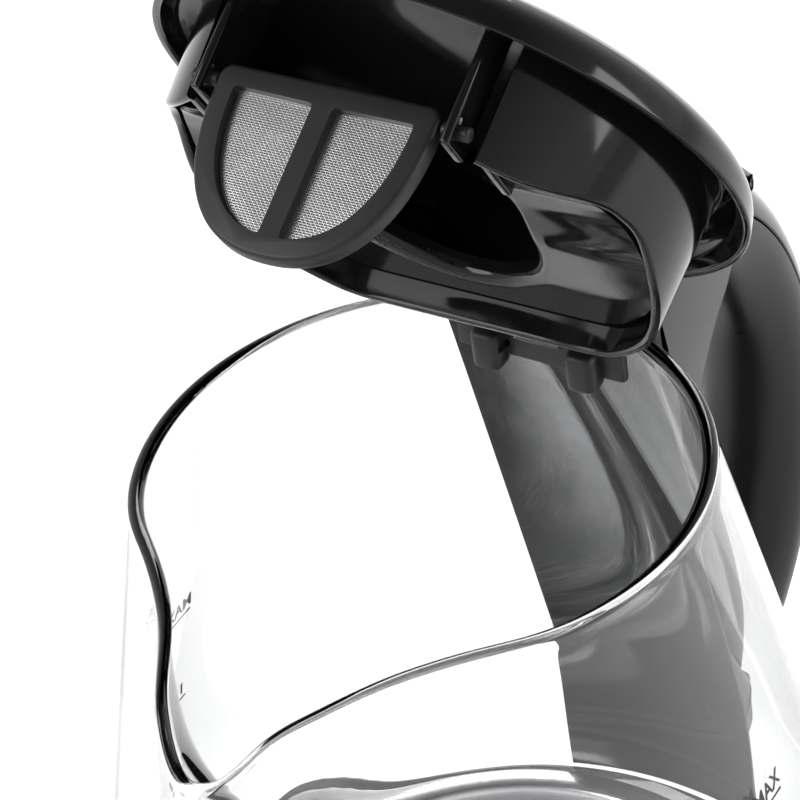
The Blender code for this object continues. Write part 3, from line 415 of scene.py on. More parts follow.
@dataclass(frozen=True)
class GlossPlastic:
    """Polished moulded plastic: slow flow waves, fine wiping marks and a few dull patches."""

    name: str = "black_gloss"
    slot: str = "black_gloss"
    color: Color = (0.005, 0.005, 0.0055)
    roughness: float = 0.1
    specular: float = 0.36

    def make(self) -> bpy.types.Material:
        """Builds the material."""
        recipe = Recipe(self.name)
        dull = recipe.noise(14.0, 4.0)
        roughness = recipe.span(dull, self.roughness * 0.75, self.roughness * 1.7, 0.35, 0.8)
        waves = recipe.bump(recipe.noise(9.0, 1.0), 0.012)
        normal = recipe.bump(recipe.noise(0.35, 3.0), 0.0006, waves)
        shade = recipe.blend(dull, self.color, scaled(self.color, 1.6))
        inputs = {"Base Color": shade, "Roughness": roughness, "Normal": normal,
                  "Specular IOR Level": self.specular}
        return recipe.surface(inputs)


@dataclass(frozen=True)
class GrainPlastic:
    """Satin moulded plastic with a fine spark-eroded grain."""

    name: str = "black_satin"
    slot: str = "black_satin"
    color: Color = (0.017, 0.017, 0.0175)
    roughness: float = 0.42
    grain: float = 0.28
    depth: float = 0.012
    specular: float = 0.5

    def make(self) -> bpy.types.Material:
        """Builds the material."""
        recipe = Recipe(self.name)
        cells = recipe.node("TexVoronoi", {"Vector": recipe.place(), "Scale": 1 / (self.grain * MM)}).outputs[0]
        worn = recipe.noise(22.0, 4.0)
        roughness = recipe.span(worn, self.roughness * 0.86, self.roughness * 1.2, 0.3, 0.75)
        shade = recipe.blend(worn, scaled(self.color, 0.85), scaled(self.color, 1.25))
        normal = recipe.bump(cells, self.depth, recipe.bump(recipe.noise(5.0, 1.0), 0.01))
        inputs = {"Base Color": shade, "Roughness": roughness, "Normal": normal,
                  "Specular IOR Level": self.specular}
        return recipe.surface(inputs)


@dataclass(frozen=True)
class ClearGlass:
    """Blown and pressed clear glass or plastic: see-through, with slow waves in its wall."""

    name: str = "glass"
    slot: str = "glass"
    color: Color = (0.985, 0.99, 0.99)
    ior: float = 1.47
    roughness: float = 0.0
    wave: float = 0.02

    def make(self) -> bpy.types.Material:
        """Builds the material; light falls through it without a heavy shadow."""
        recipe = Recipe(self.name)
        stretched = recipe.node("Mapping", {"Vector": recipe.place(), "Scale": (1.0, 1.0, 0.22)}).outputs[0]
        normal = recipe.bump(recipe.noise(16.0, 1.0, stretched), self.wave)
        inputs = {"Base Color": (*self.color, 1), "Roughness": self.roughness, "IOR": self.ior,
                  "Transmission Weight": 1.0, "Normal": normal}
        solid = recipe.node("BsdfPrincipled", inputs).outputs[0]
        clear = recipe.node("BsdfTransparent", {0: (0.93, 0.94, 0.94, 1)}).outputs[0]
        shadow = recipe.node("LightPath").outputs["Is Shadow Ray"]
        return recipe.finish(recipe.node("MixShader", {0: shadow, 1: solid, 2: clear}).outputs[0])


class Brushing(Enum):
    """Which way a metal's polishing lines run."""

    ROUND = "round"
    ALONG_Y = "along_y"
    NONE = "none"


@dataclass(frozen=True)
class Metal:
    """Bare metal with its polishing lines and faint stains."""

    name: str
    slot: str
    color: Color = (0.62, 0.62, 0.63)
    roughness: float = 0.26
    brushing: Brushing = Brushing.NONE
    line: float = 0.16
    depth: float = 0.004

    def lines(self, recipe: Recipe) -> Any:
        """Noise drawn out along the polishing lines; round ones vary only with the distance from the jug's axis."""
        place = recipe.place()
        if self.brushing is Brushing.NONE:
            return recipe.noise(self.line * 3, 3.0)
        if self.brushing is Brushing.ALONG_Y:
            drawn = recipe.node("Mapping", {"Vector": place, "Scale": (1.0, 0.03, 1.0)}).outputs[0]
            return recipe.noise(self.line, 2.0, drawn)
        split = recipe.node("SeparateXYZ", {0: place}).outputs
        away = recipe.math("SQRT", recipe.math("ADD", recipe.math("MULTIPLY", split[0], split[0]),
                                               recipe.math("MULTIPLY", split[1], split[1])))
        angle = recipe.math("MULTIPLY", recipe.math("ARCTAN2", split[1], split[0]), 0.0008)
        ring = recipe.node("CombineXYZ", {0: away, 1: angle, 2: split[2]}).outputs[0]
        return recipe.noise(self.line, 2.0, ring)

    def make(self) -> bpy.types.Material:
        """Builds the material."""
        recipe = Recipe(self.name)
        lines = self.lines(recipe)
        stain = recipe.noise(11.0, 4.0)
        both = recipe.math("MULTIPLY_ADD", lines, 0.5, recipe.math("MULTIPLY", stain, 0.5))
        roughness = recipe.span(both, self.roughness * 0.7, self.roughness * 1.4, 0.3, 0.7)
        shade = recipe.blend(both, scaled(self.color, 0.82), self.color)
        inputs = {"Base Color": shade, "Metallic": 1.0, "Roughness": roughness,
                  "Normal": recipe.bump(lines, self.depth)}
        return recipe.surface(inputs)


@dataclass(frozen=True)
class WovenMesh:
    """Fine woven steel gauze on a piece whose UVs are in millimetres: bright wires with open squares between."""

    name: str = "steel_gauze"
    slot: str = "steel"
    pitch: float = 0.46
    wire_share: float = 0.5
    color: Color = (0.6, 0.6, 0.605)

    def wire(self, recipe: Recipe, place: Any) -> Any:
        """Height of one set of wires: 1 on a wire's middle, 0 between two, as |cos(pi u)|."""
        turned = recipe.math("MULTIPLY", place, math.pi / self.pitch)
        return recipe.math("ABSOLUTE", recipe.math("COSINE", turned))

    def make(self) -> bpy.types.Material:
        """Builds the material: a wire shows where either set stands above the gap's share."""
        recipe = Recipe(self.name)
        split = recipe.node("SeparateXYZ", {0: recipe.node("UVMap", uv_map="UVMap").outputs[0]}).outputs
        warp, weft = self.wire(recipe, split[0]), self.wire(recipe, split[1])
        proud = recipe.math("MAXIMUM", warp, weft)
        gap = math.cos(math.pi / 2 * self.wire_share)
        solid = recipe.span(proud, 0.0, 1.0, gap - 0.08, gap + 0.08)
        waves = [recipe.math("COSINE", recipe.math("MULTIPLY", axis, math.pi / self.pitch)) for axis in split[:2]]
        over = recipe.math("MULTIPLY", *waves)
        height = recipe.math("MULTIPLY_ADD", over, 0.25, proud)
        cloudy = recipe.noise(7.0, 2.0)
        shade = recipe.blend(cloudy, scaled(self.color, 0.7), self.color)
        inputs = {"Base Color": shade, "Metallic": 1.0, "Roughness": 0.34, "Alpha": solid,
                  "Normal": recipe.bump(height, 0.05)}
        return recipe.surface(inputs)


@dataclass(frozen=True)
class SoftRubber:
    """Rubber, silicone or print: dull, with a faint bloom."""

    name: str
    slot: str
    color: Color
    roughness: float = 0.7
    depth: float = 0.02

    def make(self) -> bpy.types.Material:
        """Builds the material."""
        recipe = Recipe(self.name)
        bloom = recipe.noise(3.0, 5.0)
        shade = recipe.blend(bloom, scaled(self.color, 0.8), scaled(self.color, 1.3))
        inputs = {"Base Color": shade, "Roughness": recipe.span(bloom, self.roughness * 0.9, self.roughness * 1.1),
                  "Normal": recipe.bump(recipe.noise(0.3, 3.0), self.depth)}
        return recipe.surface(inputs)


BLACK_GLOSS = GlossPlastic()
LID_GLOSS = GlossPlastic("lid_gloss", color=(0.004, 0.004, 0.0045), roughness=0.08, specular=0.3)
BLACK_SATIN = GrainPlastic(color=(0.012, 0.012, 0.0125), specular=0.34)
HANDLE_SATIN = GrainPlastic("handle_satin", color=(0.008, 0.008, 0.0085), roughness=0.3, grain=0.2, depth=0.003,
                            specular=0.3)
SPINE_SATIN = GrainPlastic("spine_satin", color=(0.012, 0.012, 0.0125), roughness=0.36, grain=0.25, depth=0.006,
                           specular=0.3)
FILTER_GREY = GrainPlastic("filter_grey", "filter_grey", (0.014, 0.014, 0.0145), 0.42, 0.22, 0.006, 0.32)
GLASS = ClearGlass()
CLEAR_PLASTIC = ClearGlass("clear_plastic", "clear_plastic", (0.93, 0.94, 0.94), 1.45, 0.06, 0.05)
PLATE_STEEL = Metal("plate_steel", "steel", (0.63, 0.63, 0.64), 0.24, Brushing.ROUND)
RING_STEEL = Metal("ring_steel", "steel", (0.6, 0.6, 0.61), 0.16, Brushing.ROUND, 0.3, 0.002)
SCREW_STEEL = Metal("screw_steel", "steel", (0.55, 0.55, 0.56), 0.3)
PIN_STEEL = Metal("pin_steel", "steel", (0.6, 0.6, 0.61), 0.22, Brushing.ALONG_Y)
SPRING_STEEL = Metal("spring_steel", "spring_steel", (0.46, 0.46, 0.47), 0.32)
ALUMINIUM = Metal("aluminium", "aluminium", (0.7, 0.71, 0.72), 0.42)
BRASS = Metal("brass", "brass", (0.72, 0.55, 0.28), 0.3)
GAUZE = WovenMesh()
RUBBER = SoftRubber("rubber", "rubber", (0.03, 0.03, 0.03), 0.75)
SILICONE = SoftRubber("silicone", "silicone", (0.45, 0.45, 0.46), 0.55, 0.008)
PRINT = SoftRubber("scale_print", "black_satin", (0.02, 0.02, 0.02), 0.5, 0.0)
BY_SLOT = {
    "black_gloss": BLACK_GLOSS,
    "black_satin": BLACK_SATIN,
    "glass": GLASS,
    "clear_plastic": CLEAR_PLASTIC,
    "steel": SCREW_STEEL,
    "spring_steel": SPRING_STEEL,
    "aluminium": ALUMINIUM,
    "brass": BRASS,
    "rubber": RUBBER,
    "silicone": SILICONE,
    "filter_grey": FILTER_GREY,
}


@dataclass
class Bench:
    """Writes shapes as meshes, dresses them, and sets them on their bodies."""

    made: dict[str, bpy.types.Material] = field(default_factory=dict)

    def material(self, finish: Any) -> bpy.types.Material:
        """The finish's material, built once."""
        if finish.name not in self.made:
            self.made[finish.name] = finish.make()
        return self.made[finish.name]

    def mesh(self, name: str, shape: Shape) -> bpy.types.Object:
        """A linked mesh object in metres, with poles closed, faces turned out and creases marked."""
        data = bpy.data.meshes.new(name)
        data.from_pydata((shape.points * MM).tolist(), [], shape.faces)
        work = bmesh.new()
        work.from_mesh(data)
        bmesh.ops.remove_doubles(work, verts=work.verts, dist=MERGE)
        bmesh.ops.recalc_face_normals(work, faces=work.faces)
        work.to_mesh(data)
        work.free()
        self.shade(data)
        made = bpy.data.objects.new(name, data)
        bpy.context.scene.collection.objects.link(made)
        return made

    def shade(self, data: bpy.types.Mesh) -> None:
        """Smooth shading with crisp creases."""
        data.shade_smooth()
        data.set_sharp_from_angle(angle=SHARP_ANGLE)

    def carve(self, target: bpy.types.Object, cutters: Sequence[Shape], operation: str = "DIFFERENCE") -> None:
        """Cuts shapes out of an object, or joins them to it, and keeps the result as its mesh."""
        helpers = [self.mesh(f"{target.name}_helper_{k}", shape) for k, shape in enumerate(cutters)]
        for helper in helpers:
            modifier = target.modifiers.new(helper.name, "BOOLEAN")
            modifier.operation, modifier.object = operation, helper
        graph = bpy.context.evaluated_depsgraph_get()
        carved = bpy.data.meshes.new_from_object(target.evaluated_get(graph))
        target.modifiers.clear()
        target.data = carved
        self.shade(carved)
        for helper in helpers:
            bpy.data.objects.remove(helper)

    def dress(self, piece: bpy.types.Object, finish: Any, body: Body, nodes: Sequence[str]) -> bpy.types.Object:
        """Gives a piece its finish, its body and the model nodes that it stands for.

        Args:
            piece: the finished mesh object.
            finish: one of the finishes.
            body: the body that it moves with.
            nodes: model nodes that it replaces.

        Returns:
            The piece.
        """
        piece.data.materials.clear()
        piece.data.materials.append(self.material(finish))
        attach(piece, body.value)
        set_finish(piece, finish.slot)
        if nodes:
            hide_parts(*nodes)
        LOG.info("%s: %d faces on %s", piece.name, len(piece.data.polygons), body.value)
        return piece

    def add(self, name: str, shape: Shape, finish: Any, body: Body, *nodes: str) -> bpy.types.Object:
        """Makes and dresses a piece in one step."""
        return self.dress(self.mesh(name, shape), finish, body, nodes)


# Pieces

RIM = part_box("base_collar")[0].z / MM + 186.6  # the collar's lower edge is this far below the rim
GAP = 0.3
SCREW_HEAD = 3.0
SCREW_SHANK = 1.4
HINGE = (64.3, 0.0, RIM + 10.2)
HINGE_PIN = 2.0
HINGE_BORE = 2.35
LID_OPEN = math.radians(60.0)


@dataclass
class JugForm:
    """The glass's outer shape: a 12 degree flare, a shoulder arc, a short straight wall and a foot fillet."""

    depth: float = 159.0
    rim_radius: float = 55.0
    bead: float = 1.6
    wall: float = 2.6
    flare: float = math.radians(12)
    shoulder: float = 110.0
    straight: float = 10.0
    foot: float = 16.0
    lip: float = 60.0
    spout_reach: float = 28.0
    spout_half_angle: float = math.radians(15.9)
    spout_power: float = 1.7
    spout_depth: float = 42.0
    tip_drop: float = 8.0
    tip_half_angle: float = math.radians(6.7)
    dip: float = 1.3
    dip_angle: float = math.radians(41)
    dip_half_angle: float = math.radians(12.7)

    def radius(self, depth: np.ndarray | float) -> np.ndarray:
        """Outer radius at a depth below the rim, from the flare, then the arc, then the foot fillet."""
        depth = np.asarray(depth, float)
        end = self.depth - self.foot - self.straight
        start = end - self.shoulder * math.sin(self.flare)
        mouth = self.rim_radius + self.wall / 2
        body = mouth + start * math.tan(self.flare) + self.shoulder * (1 - math.cos(self.flare))
        arc = body - self.shoulder + np.sqrt(np.maximum(self.shoulder**2 - (end - depth) ** 2, 0))
        below = np.maximum(depth - (self.depth - self.foot), 0)
        foot = body - self.foot + np.sqrt(np.maximum(self.foot**2 - below**2, 0))
        return np.where(depth <= start, mouth + depth * math.tan(self.flare), np.where(depth < end, arc, foot))

    def points(self, radius: np.ndarray, depth: np.ndarray, turn: np.ndarray) -> np.ndarray:
        """Places on the jug at angles from the spout.

        The radius grows by 28 exp(-(|a|/15.9)^1.7) less 1.3 exp(-((|a|-41)/12.7)^2), and the height falls by
        8 exp(-(|a|/6.7)^2.8), all fading out 42 mm below the rim by a smoothstep.

        Args:
            radius: radius before the spout, in millimetres.
            depth: depth below the rim.
            turn: angle from the spout.

        Returns:
            The places, with the arguments' broadcast shape and a last axis of three.
        """
        away = np.abs(turn)
        fade = 1 - smoothstep(np.maximum(depth, 0) / self.spout_depth)
        reach = self.spout_reach * np.exp(-((away / self.spout_half_angle) ** self.spout_power))
        dip = self.dip * np.exp(-(((away - self.dip_angle) / self.dip_half_angle) ** 2))
        drop = self.tip_drop * np.exp(-((away / self.tip_half_angle) ** 2.8))
        out = radius + (reach - dip) * fade
        return np.stack([-out * np.cos(turn), out * np.sin(turn), RIM - depth - drop * fade], -1)


JUG = JugForm()
BODY_RADIUS = float(JUG.radius(JUG.depth - JUG.foot))
GLASS_BOTTOM = RIM - JUG.depth


@dataclass
class GlassJug:
    """The jug's glass and the level scale printed on it."""

    columns: int = 400
    scale_angle: float = math.radians(90)
    full_depth: float = 61.0
    mark_step: float = 26.0
    marks: tuple[str, ...] = ("MAX", "1.2", "0.8", "MIN")
    figure_size: float = 4.6
    ink: float = 0.06  # half of the print's thickness

    def profile(self) -> np.ndarray:
        """(radius, depth) down the outside, under the lip, up the inside and over the rim's bead."""
        form = JUG
        depths = np.concatenate([np.linspace(2.2, 46, 26), np.linspace(50, form.depth - form.foot, 30)])
        outside = np.stack([form.radius(depths), depths], -1)
        centre = np.array([BODY_RADIUS - form.foot, form.depth - form.foot])
        turn = np.radians(np.linspace(8, 90, 9))[:, None]
        foot = centre + form.foot * np.hstack([np.cos(turn), np.sin(turn)])
        inner_foot = centre + (form.foot - form.wall) * np.hstack([np.cos(turn[::-1]), np.sin(turn[::-1])])
        lip = [(form.lip, form.depth), (form.lip, form.depth - form.wall)]
        inside = (outside - [form.wall, 0])[::-1]
        over = np.radians(np.linspace(160, 380, 13))
        bead = np.stack([form.rim_radius + form.bead * np.cos(over), form.bead * np.sin(over)], -1)
        return np.vstack([outside, foot, lip, inner_foot, inside, bead])

    def build(self, bench: Bench) -> None:
        """Builds the glass, a grid of the wall's profile against the angle, and prints the scale."""
        even = np.linspace(-math.pi, math.pi, self.columns, endpoint=False)
        turn = even - 0.6 * np.sin(even)
        radius, depth = self.profile().T
        skin = JUG.points(radius[None, :], depth[None, :], turn[:, None])
        bench.add("jug_glass", grid(skin, True, True), GLASS, Body.KETTLE, "glass_jug")
        for side in (-1, 1):
            self.scale(bench, side)

    def scale(self, bench: Bench, side: int) -> None:
        """The level marks on one side: a tick and a figure at each of four depths."""
        rows = []
        for k, words in enumerate(self.marks):
            depth = self.full_depth + k * self.mark_step
            half = 4.5 if words == "MAX" else 3.2
            tick = plate(box_outline((-half, half), (-0.25, 0.25), 0.2), 0.0, 2 * self.ink, 0.05, "xy")
            rows += [tick.moved(y=-depth), self.word(words).moved(y=-depth + 1.4)]
        flat = functools.reduce(operator.add, rows)
        bench.add(f"level_scale_{'right' if side < 0 else 'left'}", flat.mapped(lambda p: self.wrap(p, side)),
                  PRINT, Body.KETTLE)

    def word(self, words: str) -> Shape:
        """A generic figure as a thin plate, centred above the line at 0."""
        text = bpy.data.curves.new("figure", "FONT")
        text.body, text.size, text.align_x = words, self.figure_size, "CENTER"
        text.extrude, text.offset, text.resolution_u = self.ink, self.ink, 4
        holder = bpy.data.objects.new("figure", text)
        bpy.context.scene.collection.objects.link(holder)
        data = bpy.data.meshes.new_from_object(holder.evaluated_get(bpy.context.evaluated_depsgraph_get()))
        points = np.empty(len(data.vertices) * 3)
        data.vertices.foreach_get("co", points)
        faces = [list(face.vertices) for face in data.polygons]
        bpy.data.objects.remove(holder)
        return Shape(points.reshape(-1, 3) + [0, 0, self.ink], faces)

    def wrap(self, points: np.ndarray, side: int) -> np.ndarray:
        """Bends a flat print, x across and -y down, onto the glass at the side, standing z proud."""
        depth = -points[:, 1]
        radius = JUG.radius(depth)
        turn = side * self.scale_angle - points[:, 0] / radius
        return JUG.points(radius + 0.02 + points[:, 2], depth, turn)


@dataclass
class PowerBase:
    """The round base: glossy top shell, plate with feet and screws, connector post and lead bush."""

    radius: float = 75.0
    height: float = 18.0
    wall: float = 2.2
    lift: float = 1.2
    hub: float = 20.0
    post: float = 13.6
    post_height: float = 15.0
    gland: float = 3.4
    gland_height: float = 8.6
    foot_circle: float = 60.0
    screw_circle: float = 44.0

    def build(self, bench: Bench) -> None:
        """Builds all of the base's pieces."""
        r, h, w = self.radius, self.height, self.wall
        corners = [(self.hub, h), (r - 9, h - 0.4), (r - 2.6, h - 3), (r, h - 8), (r, 2.2), (r - w, 2.2),
                   (r - w, h - 8.6), (r - 4.2, h - 5), (r - 9.6, h - w - 0.6), (self.hub, h - w)]
        radii = [0.7, 4, 3, 4, 0.8, 0.8, 3, 2, 3, 0.7]
        top = bench.mesh("base_shell", turned_ring(corners, radii, 192))
        bore = rod(self.gland + GAP, (r - 12, r + 8), segments=48, axis="x")
        bench.carve(top, [bore.moved(z=self.gland_height)])
        bench.dress(top, BLACK_GLOSS, Body.POWER_BASE, ["power_base_top"])
        disc = bench.mesh("base_plate", rod(r - w - GAP, (self.lift, self.lift + w), 0.5, 160))
        spots = around(self.screw_circle, 3, math.pi / 3)
        holes = [rod(SCREW_HEAD + GAP, (0, 6)).moved(x, y) for x, y in spots]
        rings = [turned_ring([(54, 0.6), (66, 0.6), (66, 1.5), (54, 1.5)], 0.2, 120)]
        bench.carve(disc, holes + rings)
        bench.dress(disc, BLACK_SATIN, Body.POWER_BASE, ["power_base_plate"])
        pad = turned_solid([(0, 0), (5.6, 0), (6.0, 0.4), (6.0, 0.9), (0, 0.9)], 0.15, 48)
        for k, (x, y) in enumerate(around(self.foot_circle, 4, math.pi / 4), 1):
            bench.add(f"rubber_foot_{k}", pad.moved(x, y), RUBBER, Body.POWER_BASE, f"base_foot_{k}")
        screw = cross_screw(SCREW_HEAD, SCREW_SHANK, 11.0)
        for k, (x, y) in enumerate(spots, 1):
            bench.add(f"plate_screw_{k}", screw.moved(x, y, self.lift + GAP), SCREW_STEEL, Body.POWER_BASE,
                      f"base_screw_{k}")
        self.connector(bench)

    def connector(self, bench: Bench) -> None:
        """The male post with its ring of contacts, and the bush that a lead passes through."""
        p, top, h = self.post, self.height + self.post_height, self.height
        low = h - self.wall - 3.0
        corners = [(0, low), (self.hub - GAP, low), (self.hub - GAP, h - GAP), (p, h - GAP), (p, top - 1.4),
                   (p - 1.2, top), (p - 4.6, top), (p - 4.6, top - 8), (p - 7.4, top - 8), (p - 7.4, top),
                   (3.4, top), (3.4, top - 9), (0, top - 9)]
        bench.add("connector_post", turned_solid(corners, 0.5, 96), BLACK_SATIN, Body.POWER_BASE, "base_connector")
        g, wall = self.gland, self.radius
        ring = [(g - 1.2, wall - 7), (g + 0.9, wall - 7), (g + 0.9, wall - 4.8), (g, wall - 4.8),
                (g, wall + 0.6), (g + 1.0, wall + 0.6), (g + 0.4, wall + 2.4), (g - 1.2, wall + 2.4)]
        bench.add("lead_bush", turned_ring(ring, 0.25, 64, "x").moved(z=self.gland_height), RUBBER,
                  Body.POWER_BASE, "cord_gland")


def cross_screw(head: float, shank: float, length: float) -> Shape:
    """A pan-head screw pointing up from height 0, whose head has a shallow six-lobed dimple.

    The head's underside is a dish: its depth at polar (r, a) is 0.9 (1 - smoothstep(r / ((0.5 + 0.1 cos 6a) R))).

    Args:
        head: the head's radius.
        shank: the shank's radius.
        length: overall length.

    Returns:
        The screw.
    """
    turn = 2 * math.pi * np.arange(72) / 72
    radii = np.linspace(0, head * 0.82, 12)
    lobes = head * (0.5 + 0.1 * np.cos(6 * turn))[None, :]
    depth = 0.9 * (1 - smoothstep(radii[:, None] / lobes))
    dish = np.stack([radii[:, None] * np.cos(turn), radii[:, None] * np.sin(turn), depth], -1)
    wall = fillet([(head * 0.82, 0), (head, 0.25), (head, 1.6), (shank, 1.6), (shank, length - 0.8),
                   (shank * 0.5, length), (0, length)], 0.2, closed=False)[1:]
    sides = np.stack([wall[:, :1] * np.cos(turn), wall[:, :1] * np.sin(turn),
                      np.repeat(wall[:, 1:], len(turn), 1)], -1)
    return grid(np.concatenate([dish, sides]), wrap_columns=True)


@dataclass
class KettleBase:
    """The collar under the glass, the underside cover, and the slip ring that it stands on."""

    collar_height: float = 27.6
    wall: float = 2.6
    screw_circle: float = 62.0
    cover_inner: float = 19.1

    def build(self, bench: Bench) -> None:
        """Builds the collar, cover, screws and slip ring."""
        low, top, r, w = GLASS_BOTTOM - self.collar_height, GLASS_BOTTOM, BODY_RADIUS - 0.6, self.wall
        bend = np.radians(np.linspace(-50, -90, 6))
        seat = [(BODY_RADIUS - JUG.foot + (JUG.foot + 0.45) * math.cos(a),
                 GLASS_BOTTOM + JUG.foot + (JUG.foot + 0.45) * math.sin(a)) for a in bend]
        shelf = JUG.lip - 2.5
        corners = [(r - 2.5, low), (r, low + 9), (r, top - 1.5), (r - 1.2, top + 2.2),
                   (seat[0][0] + 1.6, top + 3.9), *seat, (shelf, seat[-1][1]), (shelf, top - 3.2),
                   (seat[-1][0], top - 3.2), (r - w - 2, top - 6), (r - w, top - 9), (r - w, low + 9),
                   (r - w - 2.4, low + 2), (r - w - 2.4, low)]
        radii = [1.0, 5, 1.6, 1.4, 1.0, *[0.3] * len(seat), 0.5, 0.5, 1, 2, 2, 3, 1, 0.6]
        bench.add("collar", turned_ring(corners, radii, 256), BLACK_GLOSS, Body.KETTLE, "base_collar")
        self.cover(bench, r - w - 3.0, low + 4.1)

    def cover(self, bench: Bench, radius: float, low: float) -> None:
        """The flat cover under the kettle, ribbed by two shallow rings, and its three screws."""
        inner = self.cover_inner
        corners = [(inner, low), (34, low), (34.8, low + 0.5), (37, low + 0.5), (37.8, low), (radius, low),
                   (radius, low + 2), (inner, low + 2)]
        disc = bench.mesh("bottom_cover", turned_ring(corners, 0.3, 160))
        spots = around(self.screw_circle, 3, math.radians(35))
        bench.carve(disc, [rod(SCREW_SHANK + GAP, (low - 5, low + 9)).moved(x, y) for x, y in spots])
        bench.dress(disc, BLACK_SATIN, Body.KETTLE, ["underside_cover"])
        screw = cross_screw(SCREW_HEAD, SCREW_SHANK, 12.0)
        for k, (x, y) in enumerate(spots, 1):
            bench.add(f"bottom_screw_{k}", screw.moved(x, y, low - 1.9), SCREW_STEEL, Body.KETTLE,
                      f"cover_screw_{k}")
        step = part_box("swivel_ring")
        ring_low, ring_high = step[0].z / MM, step[1].z / MM
        ring = [(22, ring_low), (27, ring_low), (27, ring_high - 0.8), (26.2, ring_high), (22, ring_high)]
        bench.add("slip_ring", turned_ring(ring, 0.35, 96), BLACK_SATIN, Body.SWIVEL, "swivel_ring")


@dataclass
class Heater:
    """The steel plate in the jug, its clamp ring and its seal."""

    ring_radius: float = 65.5
    ring_width: float = 8.2
    ring_height: float = 11.0

    def build(self, bench: Bench) -> None:
        """Builds the ring, the plate and the seal."""
        seal_low = GLASS_BOTTOM + JUG.wall + GAP
        flange = seal_low + 1.5 + GAP
        ring_low, top = flange + 1.0 + GAP, flange + 5.3 + 1.0
        a, b = self.ring_radius - self.ring_width, self.ring_radius
        crest = ring_low + self.ring_height
        ring = [(a, ring_low), (b, ring_low), (b, crest - 2.5), (b - 1, crest - 0.5), (b - 3, crest),
                (a + 1.7, crest), (a + 0.5, crest - 1.5), (a, crest - 5)]
        bench.add("clamp_ring", turned_ring(ring, [0.4, 0.4, 1, 1, 1.5, 1.2, 1, 1.5], 200), RING_STEEL,
                  Body.KETTLE, "heater_ring")
        edge = a - 1.0
        disc = [(0, top), (18, top), (19, top), (edge - 1.5, top), (edge, top - 1.2), (edge, flange + 1.0),
                (b - 1.5, flange + 1.0), (b - 1.5, flange), (edge - 1, flange), (edge - 1, top - 1.8),
                (edge - 2, top - 1), (0, top - 1)]
        bench.add("hot_plate", turned_solid(disc, 0.35, 200), PLATE_STEEL, Body.KETTLE, "heating_plate")
        seal = [(JUG.lip - 1, seal_low), (b - 1, seal_low), (b - 1, seal_low + 1.5), (JUG.lip - 1, seal_low + 1.5)]
        bench.add("ring_seal", turned_ring(seal, 0.4, 128), SILICONE, Body.KETTLE, "plate_seal")


